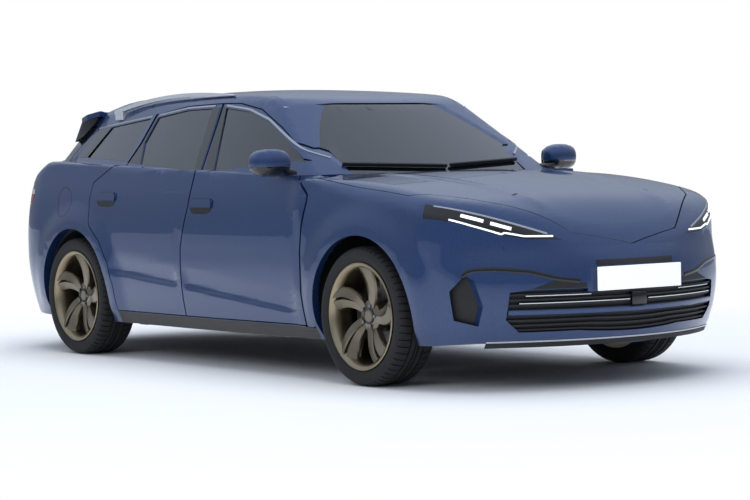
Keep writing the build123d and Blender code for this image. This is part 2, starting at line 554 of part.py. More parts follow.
# Engine, front and rear axle frames
KING_Y = 715.0
ARM_LOW = (180.0, 204.0)
ARM_TOP = (456.0, 480.0)
PIN_R = 14.0
SUBFRAME_TOP = 290.0
nodes["engine_block"] = box(1150, 1750, -380, 380, SUBFRAME_TOP, 800)
frame = box(1300, 1620, -380, 380, 215, SUBFRAME_TOP) + box(1400, 1510, -470, 470, 215, 280)
link = box(1425, 1485, 440, KING_Y, *ARM_LOW) + upright(FRONT_AXLE_X, KING_Y, 26, *ARM_LOW)
link += box(1425, 1485, 440, 480, 180, 230)
link += box(1430, 1480, 470, KING_Y, *ARM_TOP) + upright(FRONT_AXLE_X, KING_Y, 28, *ARM_TOP)
link -= upright(FRONT_AXLE_X, KING_Y, PIN_R + RUN, 100, 600)
nodes["front_axle_frame"] = frame + both(link)

SPINDLE_R = 30.0
SPINDLE_Y = (735.0, 866.0)
COLLAR = (736.0, 744.0)
HUB_FACE_OUT = 858.0


def spindle(axle_x):
    piece = across(axle_x, AXLE_Z, SPINDLE_R, *SPINDLE_Y)
    piece += across(axle_x, AXLE_Z, 42, SPINDLE_Y[0] - 10, COLLAR[1] - SEAT)
    piece += across(axle_x, AXLE_Z, 40, HUB_FACE_OUT + SEAT, SPINDLE_Y[1])
    return piece


def caliper(axle_x, ahead):
    pad = across(axle_x, AXLE_Z, 196, 722, 792) - across(axle_x, AXLE_Z, 118, 700, 800)
    pad -= across(axle_x, AXLE_Z, 170, 742, 776)
    x0, x1 = (axle_x + 60, axle_x + 300) if ahead else (axle_x - 300, axle_x - 60)
    return pad & box(x0, x1, 700, 800, AXLE_Z - 95, AXLE_Z + 95)


knuckle = box(FRONT_AXLE_X - 32, FRONT_AXLE_X + 32, 690, 736, ARM_LOW[1] + 1, ARM_TOP[0] - 1)
knuckle += upright(FRONT_AXLE_X, KING_Y, PIN_R, ARM_LOW[0], ARM_TOP[1]) + spindle(FRONT_AXLE_X)
knuckle += caliper(FRONT_AXLE_X, False) + box(FRONT_AXLE_X - 150, FRONT_AXLE_X, 700, 733, 300, 370)
nodes["knuckle_front_left"] = knuckle
nodes["knuckle_front_right"] = right_of(knuckle)
carrier = box(REAR_AXLE_X - 45, REAR_AXLE_X + 45, 660, 736, 250, 420) + spindle(REAR_AXLE_X)
carrier += caliper(REAR_AXLE_X, True) + box(REAR_AXLE_X, REAR_AXLE_X + 150, 700, 733, 300, 370)
beam = box(REAR_AXLE_X - 60, REAR_AXLE_X + 60, -665, 665, 280, 380)
mounting = box(REAR_AXLE_X - 60, REAR_AXLE_X + 60, 400, 480, 375, 420)
nodes["rear_axle_frame"] = beam + both(carrier) + both(mounting)

# Wheels: the left wheel standing on its own centre, axis along +Y, then placed
RIM_SEAT_R = 240.0
RIM_HALF_W = 108.0
HUB_FACE = (778.0 - WHEEL_Y, 858.0 - WHEEL_Y)
SPOKES = 5
SPOKE_PITCH = 15.0


def turned(points):
    """Solid of revolution about the wheel axis from (radius, across) points."""
    return revolve(make_face(Polyline(*points, close=True)), axis=Axis.Y)


TYRE_SIDES = 60
# Tyre surface and the hole for the rim, as rings of flats: (radius, across)
TYRE_RINGS = [(RIM_LIP_R + 4, -98), (302, -112.5), (326, -96), (TYRE_R, -66), (TYRE_R, 66), (326, 96), (302, 112.5), (RIM_LIP_R + 4, 98)]
BORE_RINGS = [(RIM_LIP_R + 8, -100.3), (RIM_SEAT_R + SEAT, -86), (RIM_SEAT_R + SEAT, 86), (RIM_LIP_R + 8, 100.3)]


def ringed(rings, outside):
    """Solid of flats through rings about the wheel axis; outside keeps the corners, not the flats, on the radius."""
    grow = 1.0 if outside else 1 / math.cos(math.pi / TYRE_SIDES)
    wires = [
        Wire((Pos(0, y, 0) * Rot(-90, 0, 0) * RegularPolygon(r * grow, TYRE_SIDES)).edges()) for r, y in rings
    ]
    return Solid.make_loft(wires, ruled=True)


rim_profile = [
    (RIM_SEAT_R - 12, -RIM_HALF_W + 8), (RIM_LIP_R, -RIM_HALF_W + 8), (RIM_LIP_R, -99), (RIM_SEAT_R, -87),
    (RIM_SEAT_R, 87), (RIM_LIP_R, 99), (RIM_LIP_R, RIM_HALF_W), (RIM_SEAT_R - 4, RIM_HALF_W), (RIM_SEAT_R - 12, 90),
]
disc_profile = [
    (SPINDLE_R + RUN, COLLAR[1] - WHEEL_Y), (165, COLLAR[1] - WHEEL_Y), (165, 772 - WHEEL_Y), (86, 772 - WHEEL_Y),
    (86, HUB_FACE[0]), (SPINDLE_R + RUN, HUB_FACE[0]),
]
hub_profile = [(SPINDLE_R + RUN, HUB_FACE[0]), (84, HUB_FACE[0]), (70, HUB_FACE[1]), (SPINDLE_R + RUN, HUB_FACE[1])]
tyre = ringed(TYRE_RINGS, True) - ringed(BORE_RINGS, False)
disc = turned(disc_profile)
rim = turned(rim_profile) + turned(hub_profile)
spoke = Pos(150, 66, 0) * Rot(0, 0, 10) * Box(172, 26, 30)
for i in range(SPOKES):
    for lean in (-SPOKE_PITCH, SPOKE_PITCH):
        rim += Rot(0, 360 / SPOKES * i + lean, 0) * spoke
wheel_places = [
    ("front_left", FRONT_AXLE_X, 1),
    ("front_right", FRONT_AXLE_X, -1),
    ("rear_left", REAR_AXLE_X, 1),
    ("rear_right", REAR_AXLE_X, -1),
]
for name, axle_x, hand in wheel_places:
    for kind, piece in (("tyre", tyre), ("rim", rim), ("brake_disc", disc)):
        placed = Pos(axle_x, WHEEL_Y, AXLE_Z) * piece
        nodes[f"{kind}_{name}"] = placed if hand > 0 else right_of(placed)

# Cabin: seats, dashboard and steering wheel
SEAT_Y = 370.0
SEAT_W = 500.0
FLOOR_TOP = 232.0


def seat(x, y, width, depth, back_h, lean):
    cushion = chamfer(Box(depth, width, 130).edges(), 28)
    piece = Pos(x, y, 470) * cushion
    rest = chamfer(Box(120, width - 20, back_h).edges(), 28)
    piece += Pos(x - depth / 2 + 20, y, 480) * Rot(0, -lean, 0) * Pos(0, 0, back_h / 2 - 30) * rest
    return piece


seats = Compound([])
front_seat = seat(330, SEAT_Y, SEAT_W, 520, 640, 18) + box(150, 500, SEAT_Y - 150, SEAT_Y + 150, FLOOR_TOP, 430)
head = Pos(-90, SEAT_Y, 1150) * Rot(0, -14, 0) * chamfer(Box(95, 260, 150).edges(), 26)
stalks = Pos(-60, SEAT_Y, 1070) * Rot(0, -14, 0) * Box(20, 110, 130)
nodes["seat_front_left"] = front_seat + head + stalks
nodes["seat_front_right"] = right_of(nodes["seat_front_left"])
bench = seat(-540, 0, 1280, 480, 600, 20) + box(-740, -380, -600, 600, FLOOR_TOP, 430)
bench += both(Pos(-985, SEAT_Y, 1100) * Rot(0, -14, 0) * chamfer(Box(90, 240, 130).edges(), 24))
bench += both(Pos(-955, SEAT_Y, 1030) * Rot(0, -14, 0) * Box(20, 110, 110))
nodes["seat_rear"] = bench
DASH = [(1010 - SEAT, 560), (1010 - SEAT, 900), (900, 935), (720, 935), (650, 880), (680, 740), (800, 560)]
nodes["dashboard"] = side_block(DASH, 0, -770, 770) & tub(DOOR_WALL + 8, 30) - cabin(0)
wheel_rim = revolve(Plane.XZ * Pos(175, 0) * RegularPolygon(16, 8), axis=Axis.Z)
wheel_ring = Pos(560, SEAT_Y, 860) * Rot(0, 65, 0) * (wheel_rim + Cylinder(52, 30) + Box(340, 26, 12))
column = Pos(560, SEAT_Y, 860) * Rot(0, 65, 0) * Pos(0, 0, 60) * Cylinder(26, 120)
nodes["steering_wheel"] = wheel_ring + (column - nodes["dashboard"])

os.makedirs("parts", exist_ok=True)
for name, piece in nodes.items():
    export_step(piece, f"parts/{name}.step")
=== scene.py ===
"""Looks of the estate car: smooth painted panels, wheels, lamps, trim, cabin and stage round the frame."""
import json
import math

import bmesh
import bpy
import numpy as np
from bpy.props import FloatProperty, FloatVectorProperty, IntProperty, PointerProperty
from mathutils import Matrix, Vector


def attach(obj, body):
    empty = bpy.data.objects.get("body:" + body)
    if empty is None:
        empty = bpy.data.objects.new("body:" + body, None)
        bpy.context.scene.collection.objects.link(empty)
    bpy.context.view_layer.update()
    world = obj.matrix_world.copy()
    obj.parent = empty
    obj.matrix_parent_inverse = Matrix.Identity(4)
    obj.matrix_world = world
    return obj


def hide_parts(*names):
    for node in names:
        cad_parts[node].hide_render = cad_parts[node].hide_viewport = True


bl_info = {
    "name": "Estate car looks",
    "version": (1, 0, 0),
    "blender": (4, 5, 0),
    "location": "View3D > Sidebar > Estate",
    "description": "Builds the visible panels, wheels, lamps, trim, cabin and stage of an estate car",
    "category": "Object",
}

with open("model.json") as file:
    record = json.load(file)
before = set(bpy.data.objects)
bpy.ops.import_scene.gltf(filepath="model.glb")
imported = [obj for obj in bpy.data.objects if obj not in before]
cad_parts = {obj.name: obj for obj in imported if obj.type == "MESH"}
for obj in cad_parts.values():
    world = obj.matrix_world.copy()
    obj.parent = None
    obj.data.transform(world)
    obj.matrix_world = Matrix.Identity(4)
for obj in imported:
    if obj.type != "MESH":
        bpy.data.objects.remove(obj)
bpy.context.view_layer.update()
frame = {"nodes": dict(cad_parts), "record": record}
NODES = frame["nodes"]
BODY_OF = {node: body for body, members in frame["record"]["behaviour"]["bodies"].items() for node in members}

# Sizes of the car in millimetres
LENGTH = 4840.0
NOSE_X = LENGTH / 2
TAIL_X = -LENGTH / 2
FRONT_AXLE_X = 1455.0
REAR_AXLE_X = -1335.0
AXLE_Z = 335.0
WHEEL_Y = 810.0
RIM_LIP_R = 258.0
HALF_WIDTH = 931.0
SIDE_R = 60000.0
SIDE_MID_X = -100.0
NOSE_R = 1250.0
TAIL_R = 2200.0
FRONT_CORNER_R = 450.0
REAR_CORNER_R = 640.0
FLARE = 20.0
ARCH_R = 388.0
FLARE_W = 46.0
FLARE_FOOT_Z = 225.0
FLARE_INNER_Y = 690.0
FLANK_LOW = [(872, 200), (914, 380), (931, 620)]
FLANK_TOP = [(931, 620), (927, 800), (900, 970)]
SHOULDER = (840, 1240)
NOSE_ARC = [(2352, 200), (2420, 470), (2396, 660)]
TAIL_ARC = [(-2330, 200), (-2420, 560), (-2225, 1140)]
NOSE_TOP_ARC = [(2400, 655), (2250, 800), (2000, 905)]
BONNET_ARC = [(2000, 905), (1500, 985), (950, 1012)]
BELT_LINE = [(950, 1012), (-2520, 1140)]
BONNET_CROWN_R = 9000.0
CROWN_LIFT = 24.0
ROOF_ARC = [(395, 1405), (-250, 1484), (-1700, 1398)]
ROOF_CROWN_R = 4300.0
ROOF_TOP = 1488.0
SCREEN_LINE = [(1018, 1000), (395, 1404)]
SCREEN_R = 4800.0
TAIL_GLASS_LINE = [(-2255, 1000), (-1805, 1400)]
TAIL_GLASS_R = 3000.0
CABIN_SIDE_LINE = [(868, 1000), (632, 1400)]
CABIN_SIDE_R = 9000.0
CABIN_MID_X = -250.0
CABIN_LOW = 930.0
END_TOP_Z = 1300.0
NOSE_LEAN = 20.0
TAIL_LEAN = 90.0


# Skin of the car as distances, in millimetres
def circle_through(points):
    (ax, ay), (bx, by), (cx, cy) = points
    d = 2 * (ax * (by - cy) + bx * (cy - ay) + cx * (ay - by))
    sa, sb, sc = ax**2 + ay**2, bx**2 + by**2, cx**2 + cy**2
    ux = (sa * (by - cy) + sb * (cy - ay) + sc * (ay - by)) / d
    uy = (sa * (cx - bx) + sb * (ax - cx) + sc * (bx - ax)) / d
    return ux, uy, math.hypot(ax - ux, ay - uy)


def bulge(points, along):
    """Value of an arc of (along, value) points that bulges to larger values."""
    ca, cv, r = circle_through(points)
    return cv + np.sqrt(np.maximum(r * r - (along - ca) ** 2, 1.0))


def swap(points):
    return [(b, a) for a, b in points]


def smooth(t):
    t = np.clip(t, 0.0, 1.0)
    return t * t * (3 - 2 * t)


def soft_min(a, b, k):
    h = np.maximum(k - np.abs(a - b), 0.0)
    return np.minimum(a, b) - h * h / (4 * k)


def plan_corner(end_x, end_r, corner_r, forward):
    """Centre of the arc that rounds an end of the plan outline into its flank."""
    ax, ra = end_x, end_r - corner_r
    bx, by, rb = SIDE_MID_X, HALF_WIDTH - SIDE_R, SIDE_R - corner_r
    gap = math.hypot(bx - ax, by)
    along = (ra**2 - rb**2 + gap**2) / (2 * gap)
    off = math.sqrt(ra**2 - along**2)
    ux, uy = (bx - ax) / gap, by / gap
    found = [(ax + along * ux - s * off * uy, along * uy + s * off * ux) for s in (1, -1)]
    return max(found, key=lambda p: p[0] if forward else -p[0])


PLAN_ENDS = [
    (NOSE_X - NOSE_R, NOSE_R, FRONT_CORNER_R, plan_corner(NOSE_X - NOSE_R, NOSE_R, FRONT_CORNER_R, True)),
    (TAIL_X + TAIL_R, TAIL_R, REAR_CORNER_R, plan_corner(TAIL_X + TAIL_R, TAIL_R, REAR_CORNER_R, False)),
]


def plan_depth(x, y):
    """Depth inside the plan outline, and how far its nearest edge faces along the car, from -1 to 1."""
    y = np.abs(y)
    sx, sy = SIDE_MID_X, HALF_WIDTH - SIDE_R
    side = np.hypot(x - sx, y - sy)
    depth, facing = SIDE_R - side, (x - sx) / side
    for end_x, end_r, corner_r, (cx, cy) in PLAN_ENDS:
        reach = np.hypot(x - end_x, y)
        end = np.where((x - end_x) * (cx - end_x) > 0, end_r - reach, SIDE_R)
        nearer = end < depth
        facing = np.where(nearer, (x - end_x) / np.maximum(reach, 1), facing)
        depth = np.minimum(depth, end)
        dx, dy = x - cx, y - cy
        a_end = math.atan2(cy, cx - end_x)
        a_side = math.atan2(cy - sy, cx - sx)
        angle = np.arctan2(dy, dx)
        inside = (angle > min(a_end, a_side)) & (angle < max(a_end, a_side))
        away = np.hypot(dx, dy)
        depth = np.where(inside, corner_r - away, depth)
        facing = np.where(inside, dx / np.maximum(away, 1), facing)
    return depth, facing


def flank(z):
    low = bulge(swap(FLANK_LOW), z)
    top = bulge(swap(FLANK_TOP), z)
    y1, z1 = FLANK_TOP[2]
    y2, z2 = SHOULDER
    lean = y1 + (y2 - y1) * (z - z1) / (z2 - z1)
    return np.where(z < FLANK_LOW[2][1], low, np.where(z < z1, top, lean))


def nose_line(z):
    x, zt = NOSE_ARC[2]
    return np.where(z < zt, bulge(swap(NOSE_ARC), z), x - NOSE_LEAN * (z - zt) / (END_TOP_Z - zt))


def tail_line(z):
    x, zt = TAIL_ARC[2]
    arc = -bulge([(b, -a) for a, b in TAIL_ARC], z)
    return np.where(z < zt, arc, x + TAIL_LEAN * (z - zt) / (END_TOP_Z - zt))


def leaning(p, foot, top, radius, out):
    """Depth inside a long cylinder whose surface holds the line from foot to top."""
    foot, top, out = (np.array(v, float) for v in (foot, top, out))
    run = (top - foot) / np.linalg.norm(top - foot)
    centre = (foot + top) / 2 - out / np.linalg.norm(out) * radius
    d = p - centre
    d = d - np.outer(d @ run, run)
    return radius - np.sqrt((d * d).sum(1))


def belt(x):
    (x1, z1), (x2, z2) = BELT_LINE
    return z1 + (z2 - z1) * (x - x1) / (x2 - x1)


def lower_plain(p):
    """Depths inside the lower body of the solids without its flares: all of it, its sides and its top."""
    x, y, z = p.T
    plan = plan_depth(x, y)[0]
    section = flank(z) - np.abs(y)
    ends = np.minimum(nose_line(z) - x, x - tail_line(z))
    (bx, bz), _, (wx, wz) = BONNET_ARC
    front, back = (bx, 0, bz + CROWN_LIFT), (wx, 0, wz + CROWN_LIFT)
    crown = leaning(p, front, back, BONNET_CROWN_R, (wz - bz, 0, bx - wx))
    lid = np.minimum(bulge(BONNET_ARC, x) - z, crown)
    # The bonnet's front edge itself counts as nose
    top = np.where(x > bx - 0.1, bulge(NOSE_TOP_ARC, x) - z, np.where(x > wx, lid, belt(x) - z))
    sides = np.minimum(np.minimum(plan, section), ends)
    return np.minimum(sides, top), sides, top


def lower_solid(p):
    """Depth inside the lower body of the solids, with its flare rings."""
    x, y, z = p.T
    body, sides, top = lower_plain(p)
    for axle in (FRONT_AXLE_X, REAR_AXLE_X):
        ring = ARCH_R + FLARE_W - np.hypot(x - axle, z - AXLE_Z)
        lip = np.minimum(np.minimum(sides + FLARE, ring), np.minimum(z - FLARE_FOOT_Z, top))
        body = np.where(np.abs(y) > FLARE_INNER_Y, np.maximum(body, lip), body)
    return body


# Lower door scoop: front end, middle and rear end of its line, (x, z); depth and half height
SCOOP_LINE = [(930, 345), (-55, 440), (-900, 505)]
SCOOP_DEPTH = 13.0
SCOOP_H = 95.0
# Bonnet creases: distance from the middle at the nose and at the windscreen, and height
CREASE_Y = (330.0, 560.0)
CREASE_H = 7.0
# Bonnet bow: height in the middle and fall at the given half width
BONNET_BOW = (10, 26, 760)
# Rounding of the upper edge: along the sides, more on the bonnet, more at the tail
EDGE_ROUND = (16, 74, 44)
# Rear shoulders fall towards the tail lamps: (x, z)
REAR_FALL = [(-2420, 850), (-2133, 952), (-2039, 1022), (-1771, 1110), (-1500, 1150)]


def lower_skin(p):
    """Depth inside the smooth lower body: flared arches, door scoop, bonnet creases and rounded edges."""
    x, y, z = p.T
    plan, facing = plan_depth(x, y)
    w = smooth((np.abs(facing) - 0.25) / 0.6)
    end_inset = np.where(facing > 0, NOSE_X - nose_line(z), tail_line(z) - TAIL_X)
    inset = (HALF_WIDTH - flank(z)) * (1 - w) + end_inset * w
    side = plan - inset
    for axle in (FRONT_AXLE_X, REAR_AXLE_X):
        r = np.hypot(x - axle, z - AXLE_Z)
        side = side + FLARE * smooth((560 - r) / 150) * (1 - w) * smooth((z - 190) / 120)
    xs, zs = zip(*sorted(SCOOP_LINE))
    off = (z - np.interp(x, xs, zs)) / SCOOP_H
    fade = smooth((x - xs[0] + 40) / 160) * smooth((xs[-1] + 40 - x) / 200)
    dip = np.where(off < 0, smooth(1 + off * 2.6), smooth(1 - off))
    side = side - SCOOP_DEPTH * dip * fade
    t = (2350 - x) / (2350 - 1000)
    ridge_y = CREASE_Y[0] + (CREASE_Y[1] - CREASE_Y[0]) * np.clip(t, 0, 1) ** 0.7
    ay = np.abs(y)
    rise = smooth((x - 1015) / 140)
    middle, sag, half_width = BONNET_BOW
    crown = (middle - sag * (ay / half_width) ** 2) * rise
    crown = crown + np.minimum(0, CROWN_LIFT - ay**2 / 2 / BONNET_CROWN_R) * (1 - rise)
    step = (CREASE_H * smooth((ay - ridge_y + 90) / 90) - CREASE_H * smooth((ay - ridge_y) / 26)) * rise
    lid = bulge(BONNET_ARC, x) + crown + step * smooth((2330 - x) / 300)
    nose = bulge(NOSE_TOP_ARC, x) + (crown + step * smooth((2330 - x) / 300)) * smooth((2420 - x) / 300)
    ahead = smooth((x - 930) / 60)
    share = smooth((ay - 560) / 150)
    fall = np.interp(x, *zip(*REAR_FALL))
    shoulder = belt(x) * (1 - share) + np.minimum(belt(x), fall) * share
    top = np.where(x > 2000, nose, lid) * ahead + shoulder * (1 - ahead) - z
    along_side, bonnet, tail = EDGE_ROUND
    k = along_side + bonnet * smooth((x - 960) / 500) + tail * smooth((-1560 - x) / 400)
    return soft_min(side, top, k)


def cabin_parts(p):
    (sx, sz), (hx, hz) = SCREEN_LINE
    (gx, gz), (tx, tz) = TAIL_GLASS_LINE
    (sy, s1), (ty, t1) = CABIN_SIDE_LINE
    folded = p.copy()
    folded[:, 1] = np.abs(folded[:, 1])
    screen = leaning(p, (sx, 0, sz), (hx, 0, hz), SCREEN_R, (hz - sz, 0, sx - hx))
    tail = leaning(p, (gx, 0, gz), (tx, 0, tz), TAIL_GLASS_R, (gz - tz, 0, tx - gx))
    side = leaning(folded, (CABIN_MID_X, sy, s1), (CABIN_MID_X, ty, t1), CABIN_SIDE_R, (0, t1 - s1, sy - ty))
    cx, cz, r = circle_through(ROOF_ARC)
    arch = r - np.hypot(p[:, 0] - cx, p[:, 2] - cz)
    crown = leaning(p, (1000, 0, ROOF_TOP), (-1000, 0, ROOF_TOP), ROOF_CROWN_R, (0, 0, 1))
    return screen, tail, side, arch, crown


def cabin_solid(p):
    return np.minimum.reduce(cabin_parts(p))


def cabin_skin(p):
    screen, tail, side, arch, crown = cabin_parts(p)
    roof = soft_min(arch, crown, 26)
    d = soft_min(side, roof, 46)
    d = soft_min(d, screen, 34)
    return soft_min(d, tail, 24)


def slope(field, p, h=0.5):
    return np.stack([(field(p + e) - field(p - e)) / (2 * h) for e in np.eye(3) * h], 1)


def settle(field, p, rounds):
    """Points moved square to a field until they lie on its surface."""
    p = p.copy()
    for _ in range(rounds):
        d, g = field(p), slope(field, p)
        p -= g * (np.clip(d, -60, 60) / np.maximum((g * g).sum(1), 0.2))[:, None]
    return p


# Door pins in millimetres; the panels stay as they are round them, and move fully from PIN_FADE further out
JOINTS = frame["record"]["behaviour"]["joints"]
DOOR_PINS = [np.array(j["pos_m"]) * 1000 for j in JOINTS if j["name"].startswith("door_")]
PIN_HOLD = 24.0
PIN_FADE = 40.0
# Longest move of a panel's point, mm
MOST_SHIFT = 130


def fair(p):
    """Points of the solids moved with the skin from its plain form to its smooth one."""
    low, high = lower_solid(p), np.minimum(cabin_solid(p), p[:, 2] - CABIN_LOW)
    moved = p.copy()
    for solid, skin, depth, mine in (
        (lower_solid, lower_skin, low, low >= high),
        (cabin_solid, cabin_skin, high, high > low),
    ):
        keep = mine & (depth > -9)
        if keep.any():
            q = settle(solid, p[keep], 3)
            shift = settle(skin, q, 4) - q
            size = np.linalg.norm(shift, axis=1)
            shift *= (np.minimum(size, MOST_SHIFT) / np.maximum(size, 1e-6))[:, None]
            moved[keep] += shift * np.clip((60 + 1.3 * size - depth[keep]) / 40, 0, 1)[:, None]
    under = (np.abs(lower_plain(p)[0]) < 1.5) & (low > 4)
    moved[under] = settle(lower_skin, p[under], 6)
    hold = np.ones(len(p))
    for hinge in DOOR_PINS:
        hold *= smooth((np.hypot(p[:, 0] - hinge[0], p[:, 1] - hinge[1]) - PIN_HOLD) / PIN_FADE)
    return p + (moved - p) * hold[:, None]


# Meshes
def triangles(node):
    """Corner points of a node's triangles in millimetres."""
    mesh = NODES[node].data
    mesh.calc_loop_triangles()
    co = np.zeros(len(mesh.vertices) * 3, np.float32)
    mesh.vertices.foreach_get("co", co)
    ids = np.zeros(len(mesh.loop_triangles) * 3, np.int32)
    mesh.loop_triangles.foreach_get("vertices", ids)
    return co.reshape(-1, 3).astype(float)[ids].reshape(-1, 3, 3) * 1000


def cut(soup, axis, step):
    """Triangles split by planes that stand step apart along an axis."""
    low, high = soup[:, :, axis].min(), soup[:, :, axis].max()
    for at in np.arange(math.floor(low / step) + 1, math.ceil(high / step)) * step + 0.137:
        s = soup[:, :, axis] - at
        crossing = (s.max(1) > 1e-5) & (s.min(1) < -1e-5)
        if not crossing.any():
            continue
        tri, s = soup[crossing], s[crossing]
        sign = np.where(s > 1e-5, 1, np.where(s < -1e-5, -1, 0))
        on = sign == 0
        one_on = on.any(1)
        lone = np.where(one_on, on.argmax(1), (sign * sign.sum(1)[:, None] < 0).argmax(1))
        order = (lone[:, None] + np.arange(3)) % 3
        rows = np.arange(len(tri))[:, None]
        tri, s = tri[rows, order], s[rows, order]
        a, b, c = tri[:, 0], tri[:, 1], tri[:, 2]
        sa, sb, sc = s[:, 0, None], s[:, 1, None], s[:, 2, None]

        def mix(p, q, sp, sq):
            gap = np.where(np.abs(sp - sq) < 1e-9, 1, sp - sq)
            return p + (q - p) * (sp / gap)

        ab, ac, bc = mix(a, b, sa, sb), mix(a, c, sa, sc), mix(b, c, sb, sc)
        m = one_on
        parts = [soup[~crossing]]
        thirds = ((a[~m], ab[~m], ac[~m]), (ab[~m], b[~m], c[~m]), (ab[~m], c[~m], ac[~m]))
        halves = ((a[m], b[m], bc[m]), (a[m], bc[m], c[m]))
        parts += [np.stack(t, 1) for t in thirds + halves]
        soup = np.concatenate(parts)
    return soup


def weld(soup):
    keys = np.round(soup.reshape(-1, 3) * 200).astype(np.int64)
    _, first, ids = np.unique(keys, axis=0, return_index=True, return_inverse=True)
    faces = ids.reshape(-1, 3)
    keep = (faces[:, 0] != faces[:, 1]) & (faces[:, 1] != faces[:, 2]) & (faces[:, 2] != faces[:, 0])
    return soup.reshape(-1, 3)[first], faces[keep]


def mesh_object(name, points, faces, angle=28):
    """New object from points in millimetres; edges sharper than angle stay sharp."""
    mesh = bpy.data.meshes.new(name)
    mesh.from_pydata((np.asarray(points, float) / 1000).tolist(), [], [list(map(int, f)) for f in faces])
    mesh.validate()
    mesh.shade_smooth()
    mesh.set_sharp_from_angle(angle=math.radians(angle))
    obj = bpy.data.objects.new(name, mesh)
    bpy.context.scene.collection.objects.link(obj)
    return obj


def dress(obj, material, body, stands_for=()):
    """Material, body and replaced nodes of a finished piece."""
    obj.data.materials.clear()
    obj.data.materials.append(material)
    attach(obj, body)
    if stands_for:
        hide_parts(*stands_for)
    return obj


def panel(node, material, steps):
    """A CAD node cut finer and faired onto the smooth skin, in place of the node."""
    soup = triangles(node)
    for axis, step in enumerate(steps):
        soup = cut(soup, axis, step)
    points, faces = weld(soup)
    points, faces = weld(fair(points)[faces])
    obj = mesh_object(node + "_skin", points, faces)
    return dress(obj, material, BODY_OF[node], [node])


def lathe(profile, steps):
    """Points and faces of a closed profile of (radius, across) turned about the wheel axis."""
    n = len(profile)
    points, faces = [], []
    for i in range(steps):
        a = 2 * math.pi * i / steps
        for r, y in profile:
            points.append((r * math.cos(a), y, r * math.sin(a)))
    for i in range(steps):
        for k in range(n):
            a, b = i * n + k, i * n + (k + 1) % n
            c, d = ((i + 1) % steps) * n + (k + 1) % n, ((i + 1) % steps) * n + k
            faces.append((a, b, c, d))
    return points, faces


def outward(obj):
    """Normals recalculated so that faces point outwards."""
    bm = bmesh.new()
    bm.from_mesh(obj.data)
    bmesh.ops.remove_doubles(bm, verts=bm.verts, dist=1e-6)
    bmesh.ops.recalc_face_normals(bm, faces=bm.faces)
    bm.to_mesh(obj.data)
    bm.free()
    return obj


def reach(field, p, direction, far):
    """Points slid along a direction, from far outside, to where they meet the skin."""
    direction = np.array(direction, float)
    near_d, far_d = np.zeros(len(p)), np.full(len(p), float(far))
    for _ in range(36):
        mid = (near_d + far_d) / 2
        outside = field(p + direction * mid[:, None]) < 0
        far_d, near_d = np.where(outside, mid, far_d), np.where(outside, near_d, mid)
    return p + direction * near_d[:, None]


def on_side(outline, hand, skin, lift=0.0):
    """(x, z) points laid on one flank of the car; lift raises them off the skin."""
    p = np.array([(x, hand * 300.0, z) for x, z in outline])
    q = reach(skin, p, (0, hand, 0), 900)
    g = slope(skin, q)
    return q - g / np.linalg.norm(g, axis=1)[:, None] * lift


def on_end(outline, forward, skin, lift=0.0, start=1300.0):
    """(y, z) points laid on the nose or the tail of the car, or on a screen ahead of start."""
    p = np.array([(forward * start, y, z) for y, z in outline])
    q = reach(skin, p, (forward, 0, 0), 1300)
    g = slope(skin, q)
    return q - g / np.linalg.norm(g, axis=1)[:, None] * lift


def along(points, step):
    """Points of a polyline spaced evenly by about step."""
    points = np.array(points, float)
    run = np.concatenate([[0], np.cumsum(np.linalg.norm(np.diff(points, axis=0), axis=1))])
    at = np.linspace(0, run[-1], max(2, int(run[-1] / step) + 1))
    return np.stack([np.interp(at, run, points[:, i]) for i in range(points.shape[1])], 1)


def strip(name, path, skin, width, height, sink=2.0):
    """Rounded strip that follows a path on the skin: width across it, height above it."""
    path = np.asarray(path)
    g = slope(skin, path)
    up = -g / np.linalg.norm(g, axis=1)[:, None]
    run = np.gradient(path, axis=0)
    run /= np.linalg.norm(run, axis=1)[:, None]
    over = np.cross(up, run)
    half = [(0.32, height), (0.5, 0.55 * height), (0.5, -sink)]
    profile = [(-a, b) for a, b in reversed(half)] + half
    points, faces, n = [], [], len(profile)
    for p, u, o in zip(path, up, over):
        points += [p + o * width * a + u * b for a, b in profile]
    for i in range(len(path) - 1):
        for k in range(n):
            faces.append((i * n + k, i * n + (k + 1) % n, (i + 1) * n + (k + 1) % n, (i + 1) * n + k))
    faces += [tuple(range(n)), tuple(range((len(path) - 1) * n, len(path) * n))]
    return outward(mesh_object(name, points, faces, 40))


def plate(name, outline, place, skin, lift, thick, step=28):
    """Thin plate that follows the skin inside an outline; place lays flat points on the skin."""
    bm = bmesh.new()
    edge = [bm.verts.new((a, 0, b)) for a, b in outline]
    bmesh.ops.triangulate(bm, faces=[bm.faces.new(edge)])
    soup = np.array([[v.co[:] for v in f.verts] for f in bm.faces])
    bm.free()
    for axis in (0, 2):
        soup = cut(soup, axis, step)
    flat, faces = weld(soup)
    base = place([(a, b) for a, _, b in flat])
    g = slope(skin, base)
    up = -g / np.linalg.norm(g, axis=1)[:, None]
    top, low = base + up * lift, base + up * (lift - thick)
    n = len(flat)
    edges = {}
    for f in faces:
        for a, b in ((f[0], f[1]), (f[1], f[2]), (f[2], f[0])):
            edges[(a, b)] = edges.get((a, b), 0) + 1
    rim = [(a, b) for a, b in edges if (b, a) not in edges]
    all_faces = [tuple(f) for f in faces] + [(f[2] + n, f[1] + n, f[0] + n) for f in faces]
    all_faces += [(b, a, a + n, b + n) for a, b in rim]
    return outward(mesh_object(name, np.concatenate([top, low]), all_faces, 40))


